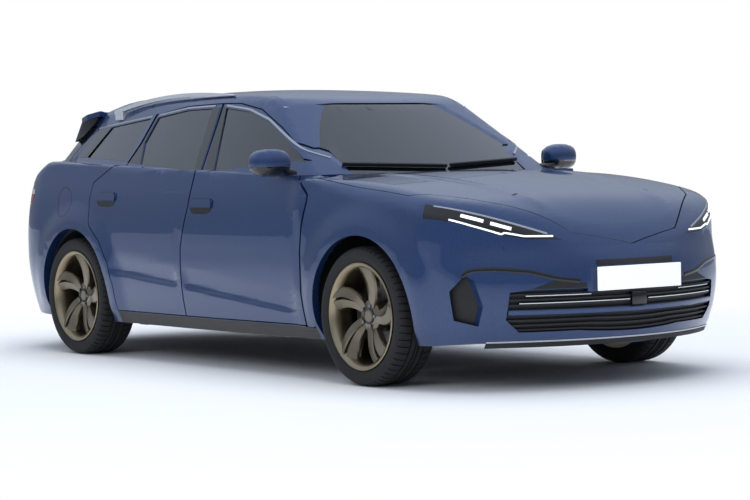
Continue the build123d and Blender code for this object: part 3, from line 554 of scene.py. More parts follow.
def rounded_box(size, radius):
    """Points and faces of a box with rounded edges about its own middle."""
    bm = bmesh.new()
    bmesh.ops.create_cube(bm, size=1.0)
    bmesh.ops.scale(bm, vec=size, verts=bm.verts)
    bmesh.ops.bevel(bm, geom=bm.edges[:] + bm.verts[:], offset=radius, segments=3, profile=0.5,
                    affect="EDGES")
    points = np.array([v.co[:] for v in bm.verts])
    bm.verts.index_update()
    faces = [tuple(v.index for v in f.verts) for f in bm.faces]
    bm.free()
    return points, faces


def joined(parts):
    """One list of points and faces from several."""
    points, faces, start = [], [], 0
    for p, f in parts:
        points.append(np.asarray(p, float))
        faces += [tuple(i + start for i in face) for face in f]
        start += len(p)
    return np.concatenate(points), faces


def turn(points, axis, degrees):
    m = np.array(Matrix.Rotation(math.radians(degrees), 3, axis))
    return np.asarray(points) @ m.T


SIDES = (("left", 1), ("right", -1))


def handed(outline, hand):
    """(y, z) points on the left or the right of the car."""
    return [(hand * y, z) for y, z in outline]


def side_plate(name, outline, hand, skin, lift, thick, step=28):
    """Plate of (x, z) outline on one flank."""
    return plate(name, outline, lambda pts: on_side(pts, hand, skin), skin, lift, thick, step)


def end_plate(name, outline, forward, skin, lift, thick):
    """Plate of (y, z) outline on the nose or the tail."""
    return plate(name, outline, lambda pts: on_end(pts, forward, skin), skin, lift, thick)


def end_strip(name, path, step, width, height, sink=2.0, lift=0.0, forward=1):
    """Strip along a (y, z) path on the nose or the tail."""
    laid = on_end(along(path, step), forward, lower_skin, lift)
    return strip(name, laid, lower_skin, width, height, sink)


# Materials
def linear(hex_colour):
    """sRGB hex to linear RGBA."""
    rgb = [int(hex_colour[i:i + 2], 16) / 255 for i in (1, 3, 5)]
    return [c / 12.92 if c <= 0.04045 else ((c + 0.055) / 1.055) ** 2.4 for c in rgb] + [1.0]


def node(tree, kind, settings=None, **links):
    """A node with its settings, and sockets set from values or other sockets."""
    n = tree.nodes.new(kind)
    for key, value in (settings or {}).items():
        setattr(n, key, value)
    for key, value in links.items():
        socket = n.inputs[int(key[1:])] if key[0] == "_" else n.inputs[key.replace("_", " ")]
        if isinstance(value, bpy.types.NodeSocket):
            tree.links.new(value, socket)
        else:
            socket.default_value = value
    return n


MATERIALS = {}


def finish(name, colour, second=None, size_mm=40.0, mix=0.35, bump=0.0, bump_mm=2.0, rough_swing=0.06,
           **sockets):
    """Principled material whose colour, roughness and surface vary by noise of real size."""
    if name in MATERIALS:
        return MATERIALS[name]
    mat = bpy.data.materials.new(name)
    mat.use_nodes = True
    tree = mat.node_tree
    shader = tree.nodes["Principled BSDF"]
    coords = node(tree, "ShaderNodeTexCoord").outputs["Object"]
    noise = node(tree, "ShaderNodeTexNoise", Vector=coords, Scale=1000 / size_mm, Detail=4.0).outputs[0]
    ramp = node(tree, "ShaderNodeMapRange", Value=noise, To_Min=0.0, To_Max=mix).outputs[0]
    blend = node(tree, "ShaderNodeMix", {"data_type": "RGBA"}, _0=ramp, _6=linear(colour),
                 _7=linear(second or colour))
    tree.links.new(blend.outputs[2], shader.inputs["Base Color"])
    rough = sockets.pop("Roughness", 0.5)
    if rough_swing:
        spread = node(tree, "ShaderNodeMapRange", Value=noise, To_Min=rough, To_Max=rough + rough_swing)
        tree.links.new(spread.outputs[0], shader.inputs["Roughness"])
    else:
        shader.inputs["Roughness"].default_value = rough
    if bump:
        fine = node(tree, "ShaderNodeTexNoise", Vector=coords, Scale=1000 / bump_mm, Detail=2.0).outputs[0]
        raised = node(tree, "ShaderNodeBump", Height=fine, Strength=bump, Distance=bump_mm / 1000)
        tree.links.new(raised.outputs[0], shader.inputs["Normal"])
    for key, value in sockets.items():
        shader.inputs[key.replace("_", " ")].default_value = value
    MATERIALS[name] = mat
    return mat


def car_paint(colour):
    """Metallic base coat under clear lacquer: aluminium flakes of about 1 mm, drawn coarse enough to show."""
    if "metallic_paint" in MATERIALS:
        return MATERIALS["metallic_paint"]
    mat = finish("metallic_paint", colour, None, 1.2, 0.0, 0.0, rough_swing=0.0, Roughness=0.38,
                 Metallic=0.55, Coat_Weight=1.0, Coat_Roughness=0.03, Coat_IOR=1.5)
    tree = mat.node_tree
    shader = tree.nodes["Principled BSDF"]
    coords = node(tree, "ShaderNodeTexCoord").outputs["Object"]
    flakes = node(tree, "ShaderNodeTexVoronoi", Vector=coords, Scale=1000 / 1.6).outputs["Color"]
    grey = node(tree, "ShaderNodeRGBToBW", Color=flakes).outputs[0]
    spark = node(tree, "ShaderNodeMapRange", Value=grey, From_Min=0.2, From_Max=0.9, To_Min=0.0,
                 To_Max=0.5).outputs[0]
    base = linear(colour)
    light = [min(1.0, c * 1.9 + 0.02) for c in base[:3]] + [1.0]
    blend = node(tree, "ShaderNodeMix", {"data_type": "RGBA"}, _0=spark, _6=base, _7=light)
    tree.links.new(blend.outputs[2], shader.inputs["Base Color"])
    return mat


def paint():
    return car_paint(hex_of(bpy.context.scene.estate_body.paint))


def hex_of(colour):
    return "#" + "".join(f"{round(c * 255):02x}" for c in colour[:3])


def black_gloss():
    # Gloss black acrylic trim: mirror-smooth, faint waviness; the same finish also draws the dark plates
    # painted as shade in the door handle cups, over the number plate and under the air duct edges
    return finish("gloss_black_acrylic_and_painted_shade", "#0b0c0e", "#15171a", 60, 0.5, Roughness=0.08, Coat_Weight=0.5)


def black_plastic():
    # Moulded polypropylene: fine spark-eroded grain of about 1.5 mm
    return finish("moulded_polypropylene", "#17181a", "#222326", 18, 0.6, 0.35, 1.5, Roughness=0.55)


def satin_trim():
    # Satin grey-brown moulded sill trim
    return finish("satin_sill_plastic", "#2b2a29", "#383633", 25, 0.6, 0.2, 1.5, Roughness=0.42)


def satin_chrome():
    # Satin-anodised aluminium strip
    return finish("satin_anodised_aluminium", "#c9ccd0", "#b4b8bd", 8, 0.5, Roughness=0.22, Metallic=1.0)


def rail_silver():
    # Silver-anodised aluminium extrusion, satin
    return finish("silver_anodised_extrusion", "#dcdfe2", "#cfd3d7", 12, 0.5, Roughness=0.4, Metallic=0.55)


def bright_chrome():
    # Bright chrome plate
    return finish("chrome_plate", "#dcdfe2", "#c8ccd0", 30, 0.4, rough_swing=0.03, Roughness=0.07,
                  Metallic=1.0)


def tinted_glass():
    # Blue-grey tinted toughened glass
    return finish("tinted_glass", "#26384c", "#213245", 300, 0.3, rough_swing=0.0, Roughness=0.0,
                  Transmission_Weight=1.0, IOR=1.65, Coat_Weight=0.6)


def frosted_lens():
    # Frosted polycarbonate lamp lens
    return finish("frosted_polycarbonate", "#d9d3cd", "#c9c2bb", 20, 0.4, 0.15, 3.0, Roughness=0.2,
                  Coat_Weight=0.8)


def red_lens():
    # Red acrylic lamp lens over a ribbed reflector
    return finish("red_acrylic", "#7d0d10", "#a3171a", 6, 0.6, 0.3, 5.0, Roughness=0.08, Coat_Weight=1.0)


def lit_white():
    # White light guide
    return finish("light_guide", "#f2f5f8", "#e6ebf0", 12, 0.4, Roughness=0.25,
                  Emission_Color=linear("#eef4ff"), Emission_Strength=0.9)


def tyre_rubber():
    # Carbon-black tyre rubber with fine mould grain
    return finish("tyre_rubber", "#161616", "#242322", 30, 0.7, 0.3, 2.0, Roughness=0.72)


def bronze_alloy():
    # Dark bronze lacquered alloy
    return finish("bronze_lacquered_alloy", "#7a705f", "#867b68", 20, 0.5, 0.08, 1.2, Roughness=0.3,
                  Metallic=0.9, Coat_Weight=0.6, Coat_Roughness=0.08)


def lip_alloy():
    # Machined bronze alloy lip
    return finish("machined_bronze_alloy", "#9c8f76", "#aa9c82", 10, 0.5, Roughness=0.28, Metallic=1.0)


def cast_iron():
    # Cast iron with sand-cast grain
    return finish("cast_iron", "#4a4b4d", "#5d5c5a", 14, 0.6, 0.4, 2.5, Roughness=0.5, Metallic=0.8)


def turned_iron():
    # Turned grey iron disc
    return finish("turned_grey_iron", "#8b8d90", "#77797c", 5, 0.6, 0.2, 1.5, Roughness=0.32, Metallic=1.0)


def under_steel():
    # Zinc-primed steel under black wax
    return finish("waxed_steel", "#2a2b2d", "#353638", 40, 0.6, 0.25, 4.0, Roughness=0.6, Metallic=0.3)


def seat_cloth():
    """Woven seat cloth: crossing threads 3 mm apart."""
    if "woven_seat_cloth" in MATERIALS:
        return MATERIALS["woven_seat_cloth"]
    mat = finish("woven_seat_cloth", "#2b2d31", "#3a3c41", 22, 0.6, Roughness=0.85, Sheen_Weight=0.4)
    tree = mat.node_tree
    shader = tree.nodes["Principled BSDF"]
    coords = node(tree, "ShaderNodeTexCoord").outputs["Object"]
    threads = 1000 / 3.0 / 20 * math.pi
    waves = [
        node(tree, "ShaderNodeTexWave", {"bands_direction": d}, Vector=coords, Scale=threads,
             Distortion=0.4).outputs["Fac"]
        for d in ("Y", "Z")
    ]
    weave = node(tree, "ShaderNodeMath", {"operation": "MULTIPLY"}, _0=waves[0], _1=waves[1]).outputs[0]
    raised = node(tree, "ShaderNodeBump", Height=weave, Strength=0.5, Distance=0.0008)
    tree.links.new(raised.outputs[0], shader.inputs["Normal"])
    return mat


def plate_white():
    # Retroreflective white sheet; its faint emission is painted brightness, as the plate is no lamp
    return finish("plate_sheet_painted_glow", "#f4f4f2", "#ecebe8", 15, 0.4, 0.1, 1.5, Roughness=0.35,
                  Emission_Color=linear("#ffffff"), Emission_Strength=0.35)


def studio_floor():
    """Pale painted floor; away from the car the camera sees it as plain white."""
    mat = finish("studio_floor", "#f0f0f0", "#ebebeb", 900, 0.4, Roughness=0.9)
    tree = mat.node_tree
    coords = node(tree, "ShaderNodeTexCoord").outputs["Object"]
    far = node(tree, "ShaderNodeVectorMath", {"operation": "LENGTH"}, _0=coords).outputs["Value"]
    fade = node(tree, "ShaderNodeMapRange", {"interpolation_type": "SMOOTHSTEP"}, Value=far, From_Min=2.6,
                From_Max=5.0).outputs[0]
    camera = node(tree, "ShaderNodeLightPath").outputs["Is Camera Ray"]
    share = node(tree, "ShaderNodeMath", {"operation": "MULTIPLY"}, _0=fade, _1=camera).outputs[0]
    white = node(tree, "ShaderNodeEmission", Color=(1, 1, 1, 1), Strength=1.0)
    shader = tree.nodes["Principled BSDF"]
    both = node(tree, "ShaderNodeMixShader", _0=share, _1=shader.outputs[0], _2=white.outputs[0])
    tree.links.new(both.outputs[0], tree.nodes["Material Output"].inputs[0])
    return mat


# Settings
class EstateBody(bpy.types.PropertyGroup):
    paint: FloatVectorProperty(
        name="Paint", description="Body colour as sRGB", subtype="COLOR_GAMMA", size=3,
        default=(0.095, 0.205, 0.375), min=0, max=1,
    )
    trim_width: FloatProperty(name="Window trim width", description="Bright strip over the side windows, mm",
                              default=13.0, min=4, max=30)


class EstateWheels(bpy.types.PropertyGroup):
    spokes: IntProperty(name="Spokes", description="Twin-blade spokes on each wheel", default=5, min=3, max=9)
    twist: FloatProperty(name="Twist", description="How far a spoke turns from hub to rim, degrees",
                         default=17.0)
    blocks: IntProperty(name="Tread blocks", description="Shoulder blocks round each tyre", default=60,
                        min=24, max=90)


class EstateStage(bpy.types.PropertyGroup):
    light: FloatProperty(name="Light", description="Strength of the soft light", default=1.0, min=0, max=4)


# Painted panels and how finely each is cut along, across and up, mm
PAINTED = {
    "body_side_left": (46, 60, 40), "body_side_right": (46, 60, 40), "roof_panel": (64, 60, 60),
    "rear_bumper": (52, 54, 46), "front_wings": (34, 46, 34), "front_bumper": (36, 46, 36),
    "bonnet": (48, 44, 60), "tailgate": (52, 48, 42), "door_front_left": (46, 60, 38),
    "door_front_right": (46, 60, 38), "door_rear_left": (46, 60, 38), "door_rear_right": (46, 60, 38),
}
GLAZED = [
    "windscreen", "quarter_glass", "tailgate_glass", "door_front_glass_left", "door_front_glass_right",
    "door_rear_glass_left", "door_rear_glass_right",
]


class EstatePanels(bpy.types.Operator):
    """Painted panels faired onto the smooth skin"""

    bl_idname = "estate.panels"
    bl_label = "Painted panels"

    def execute(self, context):
        for name, steps in PAINTED.items():
            panel(name, paint(), steps)
        return {"FINISHED"}


class EstateGlass(bpy.types.Operator):
    """Windscreen, side and rear glass"""

    bl_idname = "estate.glass"
    bl_label = "Glass"

    def execute(self, context):
        for name in GLAZED:
            panel(name, tinted_glass(), (60, 60, 60))
        return {"FINISHED"}


# Lines inside each headlamp seen from the front: piece, finish, width, (y, z) path
LAMP_LINES = [
    ("running_light", lit_white, 8, [(430, 714), (560, 717), (640, 735), (652, 728), (760, 770), (830, 800)]),
    ("lamp_upper_blade", satin_chrome, 9, [(455, 726), (700, 812), (850, 862)]),
    ("lamp_bar_inner", lit_white, 15, [(610, 752), (690, 780)]),
    ("lamp_bar_outer", lit_white, 15, [(715, 790), (790, 818)]),
]


# Part of each tail lamp that wraps round onto the flank: piece, (x, z) outline, finish, slot
LAMP_WRAPS = [
    ("tail_lamp_wrap", [(-1962, 864), (-1962, 920), (-1880, 920), (-1896, 872)], red_lens, "red_lamp"),
    ("tail_lamp_cap", [(-1962, 923), (-1962, 954), (-1906, 950), (-1882, 923)], frosted_lens, "lamp"),
]


class EstateLamps(bpy.types.Operator):
    """Head and tail lamps"""

    bl_idname = "estate.lamps"
    bl_label = "Lamps"

    def execute(self, context):
        panel("headlamps", black_gloss(), (24, 24, 24))
        for side, hand in SIDES:
            for name, material, wide, path in LAMP_LINES:
                line = end_strip(f"{name}_{side}", handed(path, hand), 10, wide, 3, lift=-1.0)
                dress(line, material(), BODY_OF["headlamps"])
        panel("tail_lamps", red_lens(), (24, 24, 24))
        panel("tail_light_bar", red_lens(), (40, 40, 24))
        for side, hand in SIDES:
            for name, outline, material, slot in LAMP_WRAPS:
                made = side_plate(f"{name}_{side}", outline, hand, lower_skin, 2.0, 5, 14)
                dress(made, material(), BODY_OF[f"body_side_{side}"])
        return {"FINISHED"}


# Dark line over each air duct, painted as the shade under the duct's upper edge, and dark mesh over the
# grille's upper corner, (y, z)
BROW_SHADE = [(806, 540), (784, 566), (700, 570), (560, 556), (440, 520), (330, 505)]
UPPER_MESH = [(296, 474), (556, 474), (446, 510), (330, 500), (296, 496)]
# Bright grille strips: piece, height, inner and outer ends
GRILLE_STRIPS = [("grille_strip_upper", 444, 275, 575), ("grille_strip_lower", 410, 58, 600)]
# Plates on the front bumper: piece, (y, z) outline, finish
BUMPER_PLATES = [
    # Dark gloss plate over the number plate, painted as the shade in the recess the plate sits in
    ("plate_recess_shade", [(-238, 572), (238, 572), (238, 598), (-238, 598)], black_gloss),
    ("bumper_lip", [(-700, 204), (700, 204), (700, 226), (-700, 226)], black_plastic),
]
# Painted blade across the grille and bright line on the lip, (y, z)
GRILLE_BLADE = [(640, 366), (0, 362), (-640, 366)]
LIP_LINE = [(700, 232), (0, 232), (-700, 232)]
# Sensor cover in the grille: size and height of its middle
SENSOR_SIZE = (16, 92, 60)
SENSOR_Z = 412


class EstateGrille(bpy.types.Operator):
    """Lower grille, its bright strips, dark strips painted as the shade under the duct brows, and the bumper
    lip
    """

    bl_idname = "estate.grille"
    bl_label = "Grille"

    def execute(self, context):
        bumper, grille = BODY_OF["front_bumper"], BODY_OF["front_grille"]
        panel("front_grille", black_plastic(), (60, 40, 60))
        for side, hand in SIDES:
            for name, z, y0, y1 in GRILLE_STRIPS:
                bright = end_strip(f"{name}_{side}", handed([(y0, z), (y1, z)], hand), 30, 6, 6, 8, -4)
                dress(bright, bright_chrome(), grille)
            # Dark gloss strip painted as the shade under each duct's upper edge
            brow_shade = end_strip(f"air_duct_brow_shade_{side}", handed(BROW_SHADE, hand), 24, 20, 2.5)
            dress(brow_shade, black_gloss(), bumper)
            mesh = end_plate(f"grille_upper_{side}", handed(UPPER_MESH, hand), 1, lower_skin, 1.5, 4)
            dress(mesh, black_plastic(), bumper)
        for name, outline, material in BUMPER_PLATES:
            dress(end_plate(name, outline, 1, lower_skin, 1.5, 4), material(), bumper)
        blade = end_strip("grille_blade", GRILLE_BLADE, 30, 26, 9, 12, -8)
        dress(blade, paint(), bumper)
        points, faces = rounded_box(SENSOR_SIZE, 4)
        points = points + on_end([(0, SENSOR_Z)], 1, lower_skin, -4)
        dress(mesh_object("grille_sensor", points, faces), black_gloss(), grille)
        lip = end_strip("bumper_lip_line", LIP_LINE, 30, 9, 4)
        dress(lip, satin_chrome(), bumper)
        return {"FINISHED"}


# Number plate: size, and height of its middle
PLATE_SIZE = (12, 520, 110)
PLATE_Z = 512


class EstateNumberPlate(bpy.types.Operator):
    """Blank front number plate"""

    bl_idname = "estate.number_plate"
    bl_label = "Number plate"

    def execute(self, context):
        points, faces = rounded_box(PLATE_SIZE, 3)
        points = points + np.array([NOSE_X + 2, 0, PLATE_Z])
        dress(mesh_object("number_plate", points, faces), plate_white(), BODY_OF["front_bumper"])
        return {"FINISHED"}


# Rear valance outline and reflector path, (y, z)
VALANCE = [(-690, 222), (690, 222), (650, 322), (-650, 322)]
REFLECTOR = [(520, 372), (690, 378)]


class EstateRear(bpy.types.Operator):
    """Rear valance and reflectors"""

    bl_idname = "estate.rear"
    bl_label = "Rear valance"

    def execute(self, context):
        body = BODY_OF["rear_bumper"]
        dress(end_plate("rear_valance", VALANCE, -1, lower_skin, 2, 5), satin_trim(), body)
        for side, hand in SIDES:
            lens = end_strip(f"rear_reflector_{side}", handed(REFLECTOR, hand), 20, 24, 3, forward=-1)
            dress(lens, red_lens(), body)
        return {"FINISHED"}


# Bright strips over the side windows: piece, node that carries it, (x, z) line
WINDOW_TRIMS = [
    ("window_trim_front", "door_front_{}", [
        (800, 1096), (569, 1204), (350, 1301), (131, 1361), (-104, 1388),
    ]),
    ("window_trim_rear", "door_rear_{}", [(-215, 1390), (-500, 1387), (-812, 1357)]),
    ("window_trim_quarter", "body_side_{}", [(-890, 1352), (-1150, 1334), (-1407, 1317), (-1622, 1302)]),
]
# Gloss covers on the window pillars: piece, node that carries it, (x, z) outline
PILLAR_COVERS = [
    ("pillar_cover_b_front", "door_front_{}", [(-102, 1378), (58, 1046), (-36, 1040), (-134, 1380)]),
    ("pillar_cover_b_rear", "door_rear_{}", [(-164, 1382), (-66, 1042), (-132, 1048), (-242, 1380)]),
    ("pillar_cover_c", "door_rear_{}", [
        (-762, 1086), (-838, 1203), (-814, 1345), (-830, 1345), (-856, 1203), (-908, 1094),
    ]),
    ("pillar_cover_d", "body_side_{}", [
        (-1584, 1132), (-1606, 1148), (-1414, 1306), (-1620, 1294), (-1690, 1234), (-1738, 1186),
        (-1776, 1138), (-1740, 1132),
    ]),
]


class EstateTrim(bpy.types.Operator):
    """Sills, window trim and pillar covers"""

    bl_idname = "estate.trim"
    bl_label = "Trim"

    def execute(self, context):
        panel("sill_trims", satin_trim(), (80, 60, 60))
        width = context.scene.estate_body.trim_width
        for side, hand in SIDES:
            for name, node_name, path in WINDOW_TRIMS:
                laid = on_side(along(path, 40), hand, cabin_skin)
                bright = strip(f"{name}_{side}", laid, cabin_skin, width, 4)
                dress(bright, satin_chrome(), BODY_OF[node_name.format(side)])
            for name, node_name, outline in PILLAR_COVERS:
                cover = side_plate(f"{name}_{side}", outline, hand, cabin_skin, 1.6, 3)
                dress(cover, black_gloss(), BODY_OF[node_name.format(side)])
        return {"FINISHED"}


# Door pulls: piece, middle along the car and height
DOOR_HANDLES = [("door_front", 56, 858), ("door_rear", -965, 892)]
# Outlines of the dark plate painted as the shade in the hollow behind the pull, and of the pull, (x, z) from
# that middle
HANDLE_CUP_SHADE = [
    (-106, 30), (-106, -16), (-92, -34), (-64, -42), (58, -42), (88, -34), (106, -8), (108, 18),
    (92, 38), (-98, 38),
]
HANDLE_PULL = [(-103, 27), (-103, -9), (103, -9), (105, 16), (90, 35), (-96, 35)]
# Pieces of a handle: name, outline, height off the skin, finish, slot
# The cup piece is a dark gloss plate painted as the shade in the hollow behind the pull
HANDLE_PIECES = [("cup_shade", HANDLE_CUP_SHADE, 1.2, black_gloss, "trim"), ("pull", HANDLE_PULL, 9, paint, "paint")]


class EstateHandles(bpy.types.Operator):
    """Door handle pulls, and dark plates painted as the shade in the cups behind them"""

    bl_idname = "estate.handles"
    bl_label = "Door handles"

    def execute(self, context):
        for side, hand in SIDES:
            for name, x0, z0 in DOOR_HANDLES:
                for piece, shape, lift, material, slot in HANDLE_PIECES:
                    outline = [(x0 + a, z0 + b) for a, b in shape]
                    made = side_plate(f"{name}_{piece}_{side}", outline, hand, lower_skin, lift, lift + 4)
                    dress(made, material(), BODY_OF[f"{name}_{side}"])
        return {"FINISHED"}


# Fuel flap on the right: middle and half sizes, (x, z)
FUEL_FLAP = ((-1460, 875), (84, 84))
# Wipers: piece and ends of its blade, (y, z)
WIPERS = [("wiper_left", [(40, 1040), (560, 1062)]), ("wiper_right", [(-580, 1056), (10, 1036)])]


class EstateFittings(bpy.types.Operator):
    """Line round the fuel flap, and wipers"""

    bl_idname = "estate.fittings"
    bl_label = "Fuel flap and wipers"

    def execute(self, context):
        (x0, z0), (a, b) = FUEL_FLAP
        turns = [2 * math.pi * i / 48 for i in range(49)]
        loop = [(x0 + a * math.cos(t), z0 + b * math.sin(t) * (1 - 0.12 * math.cos(t))) for t in turns]
        gap = strip("fuel_flap_gap", on_side(loop, -1, lower_skin), lower_skin, 4, 0.4)
        dress(gap, black_plastic(), BODY_OF["body_side_right"])
        for name, ends in WIPERS:
            laid = on_end(along(ends, 30), 1, cabin_skin, 3.0, -200.0)
            dress(strip(name, laid, cabin_skin, 14, 14, 3), black_plastic(), BODY_OF["windscreen"])
        return {"FINISHED"}


# Gloss cheek under each end of the spoiler: its upper and lower outer corners (x, y, z), and its width
CHEEK = [
    (-1668, 550, 1368), (-1760, 574, 1357), (-1852, 560, 1343),
    (-1690, 554, 1340), (-1790, 584, 1262), (-1893, 586, 1228),
]
CHEEK_W = 46
# Gloss cover on the tailgate beside the rear window, (y, z) outline
TAIL_FRAME = [(568, 1106), (628, 1106), (552, 1318), (514, 1318)]


def cheek_mesh(hand):
    """Points and faces of one spoiler cheek."""
    outer = np.array(CHEEK) * np.array([1, hand, 1])
    inner = outer - np.array([0, hand * CHEEK_W, 0])
    rim = [0, 1, 2, 5, 4, 3]
    walls = [(a, b, b + 6, a + 6) for a, b in zip(rim, rim[1:] + rim[:1])]
    faces = [(0, 1, 4, 3), (1, 2, 5, 4), (6, 9, 10, 7), (7, 10, 11, 8)] + walls
    return np.concatenate([outer, inner]), faces


class EstateTailgateTrim(bpy.types.Operator):
    """Covers beside the rear window and cheeks under the spoiler"""

    bl_idname = "estate.tailgate_trim"
    bl_label = "Tailgate trim"

    def execute(self, context):
        for side, hand in SIDES:
            cover = end_plate(f"tailgate_frame_cover_{side}", handed(TAIL_FRAME, hand), -1, cabin_skin, 1.6, 3)
            dress(cover, black_gloss(), BODY_OF["tailgate"])
            cheek = outward(mesh_object(f"spoiler_cheek_{side}", *cheek_mesh(hand)))
            dress(cheek, black_gloss(), BODY_OF["tailgate"])
        return {"FINISHED"}


# Lug bolts: ring radius, head radius and depth, and how far out from the wheel's middle plane, mm
BOLT_RING_R = 51.0
BOLT_R = 9.5
BOLT_DEPTH = 14.0
BOLT_FACE_Y = 54.0


def bolt_tree():
    """Geometry Nodes tree: a ring of hexagon heads about the wheel axis."""
    tree = bpy.data.node_groups.new("bolt_ring", "GeometryNodeTree")
    ids = {}
    for name, kind in (
        ("Count", "NodeSocketInt"), ("Ring radius", "NodeSocketFloat"), ("Head radius", "NodeSocketFloat"),
        ("Head depth", "NodeSocketFloat"), ("Place", "NodeSocketVector"), ("Finish", "NodeSocketMaterial"),
    ):
        ids[name] = tree.interface.new_socket(name, in_out="INPUT", socket_type=kind).identifier
    tree.interface.new_socket("Geometry", in_out="OUTPUT", socket_type="NodeSocketGeometry")
    given = tree.nodes.new("NodeGroupInput").outputs
    ring = node(tree, "GeometryNodeMeshCircle", Vertices=given["Count"], Radius=given["Ring radius"])
    head = node(tree, "GeometryNodeMeshCylinder", Vertices=6, Radius=given["Head radius"],
                Depth=given["Head depth"])
    spread = node(tree, "GeometryNodeInstanceOnPoints", Points=ring.outputs[0], Instance=head.outputs[0])
    stood = node(tree, "GeometryNodeTransform", Geometry=spread.outputs[0], Translation=given["Place"],
                 Rotation=(math.pi / 2, 0, 0))
    real = node(tree, "GeometryNodeRealizeInstances", Geometry=stood.outputs[0])
    dressed = node(tree, "GeometryNodeSetMaterial", Geometry=real.outputs[0], Material=given["Finish"])
    tree.links.new(dressed.outputs[0], tree.nodes.new("NodeGroupOutput").inputs[0])
    return tree, ids


def grown(name, tree, ids, sizes):
    """Plain mesh object made by a Geometry Nodes tree."""
    obj = bpy.data.objects.new(name, bpy.data.meshes.new(name))
    bpy.context.scene.collection.objects.link(obj)
    grow = obj.modifiers.new("grow", "NODES")
    grow.node_group = tree
    for key, value in sizes.items():
        grow[ids[key]] = value
    made = bpy.data.meshes.new_from_object(obj.evaluated_get(bpy.context.evaluated_depsgraph_get()))
    obj.modifiers.remove(grow)
    obj.data = made
    return obj


def placed(name, points, faces, hub, hand):
    points = np.asarray(points, float) * np.array([1, hand, 1]) + np.array(hub)
    return outward(mesh_object(name, points, faces, 32))


# Rim barrel and lip, closed profile of (radius, across) points, mm
RIM_BARREL = [
    (228, -100), (256, -100), (257, -96), (240, -86), (232, -60), (230, 40), (240, 87),
    (RIM_LIP_R - 1, 99), (RIM_LIP_R, 106), (252, 109), (246, 106), (238, 100), (230, 84), (222, 40),
    (222, -60),
]
# Tyre section from bead to bead over the tread: (radius, across), mm
TYRE_SECTION = [
    (246, 88), (262, 101), (272, 107), (290, 112), (304, 112.5), (318, 108), (326, 100), (331, 90),
    (334, 78), (335, 62), (335, 46), (327, 44.5), (327, 37.5), (335, 36), (335, 14), (327, 12.5),
    (327, 5), (335, 3.5),
]


def tyre_mesh(blocks):
    """Tyre with four grooves round the tread and slots across its shoulders."""
    half = TYRE_SECTION
    section = half + [(r, -y) for r, y in reversed(half)] + [(242, -80), (242, 80)]
    n = len(section)
    pitch = 2 * math.pi / blocks
    points, faces = [], []
    for i in range(blocks):
        for part, slot in ((0.0, 0), (0.82, 0), (0.86, 1), (0.96, 1)):
            a = (i + part) * pitch
            for r, y in section:
                lean = 0.25 * pitch * abs(y) / 100 if r > 300 else 0
                drop = 7 if slot and 44 < abs(y) < 102 and r > 322 else 0
                points.append(((r - drop) * math.cos(a + lean), y, (r - drop) * math.sin(a + lean)))
    rings = blocks * 4
    for i in range(rings):
        for k in range(n):
            a, b = i * n + k, i * n + (k + 1) % n
            c, d = ((i + 1) % rings) * n + (k + 1) % n, ((i + 1) % rings) * n + k
            faces.append((a, b, c, d))
    return points, faces


def spokes_mesh(count, twist):
    """Twin-blade spokes that sweep round from a dished hub to the rim."""
    parts = []
    rows = 12
    for i in range(count):
        base = 360 / count * i
        for blade, (start, end) in enumerate(((-11, -8), (11, 10))):
            points, faces = [], []
            for j in range(rows + 1):
                t = j / rows
                r = 52 + (236 - 52) * t
                mid = math.radians(base + start + (end - start) * t + twist * t * t)
                half_w = 17 + 12 * t if blade else 19 + 13 * t
                face_y = 52 + 40 * t ** 1.3 + (-6 if blade else 4)
                tilt = (-15 if blade else 13) * t
                deep = 34 - 8 * t
                ring = [(-1, -0.25), (-0.8, 0), (0.8, 0), (1, -0.25), (0.9, -1), (-0.9, -1)]
                for u, v in ring:
                    across_w = u * half_w
                    y = face_y + v * deep + tilt * u
                    points.append((r * math.cos(mid) - across_w * math.sin(mid), y,
                                   r * math.sin(mid) + across_w * math.cos(mid)))
            n = 6
            for j in range(rows):
                for k in range(n):
                    faces.append((j * n + k, j * n + (k + 1) % n, (j + 1) * n + (k + 1) % n, (j + 1) * n + k))
            faces += [tuple(range(n)), tuple(range(rows * n, rows * n + n))]
            parts.append((points, faces))
    hub = [
        (0.5, 58), (26, 58), (30, 55), (34, 52), (66, 50), (76, 44), (80, 30), (80, -20), (31, -22), (0.5, -22),
    ]
    parts.append(lathe(hub, 60))
    return joined(parts)


# Wheels: place, axle and side of the car
WHEELS = [
    ("front_left", FRONT_AXLE_X, 1), ("front_right", FRONT_AXLE_X, -1),
    ("rear_left", REAR_AXLE_X, 1), ("rear_right", REAR_AXLE_X, -1),
]


class EstateWheelPieces(bpy.types.Operator):
    """Tyres, alloy rims and lug bolts"""

    bl_idname = "estate.wheels"
    bl_label = "Wheels"

    def execute(self, context):
        s = context.scene.estate_wheels
        tree, ids = bolt_tree()
        for place, axle_x, hand in WHEELS:
            hub = (axle_x, hand * WHEEL_Y, AXLE_Z)
            body = BODY_OF["tyre_" + place]
            tyre = placed(f"tyre_{place}_tread", *tyre_mesh(s.blocks), hub, hand)
            dress(tyre, tyre_rubber(), body, ["tyre_" + place])
            spokes = placed(f"rim_{place}_spokes", *spokes_mesh(s.spokes, s.twist), hub, hand)
            dress(spokes, bronze_alloy(), body, ["rim_" + place])
            barrel = placed(f"rim_{place}_barrel", *lathe(RIM_BARREL, 96), hub, hand)
            dress(barrel, lip_alloy(), body)
            face = Vector((hub[0], hub[1] + hand * BOLT_FACE_Y, hub[2])) / 1000
            bolts = grown("lug_bolts_" + place, tree, ids, {
                "Count": s.spokes, "Ring radius": BOLT_RING_R / 1000, "Head radius": BOLT_R / 1000,
                "Head depth": BOLT_DEPTH / 1000, "Place": face, "Finish": turned_iron(),
            })
            dress(bolts, turned_iron(), body)
        return {"FINISHED"}


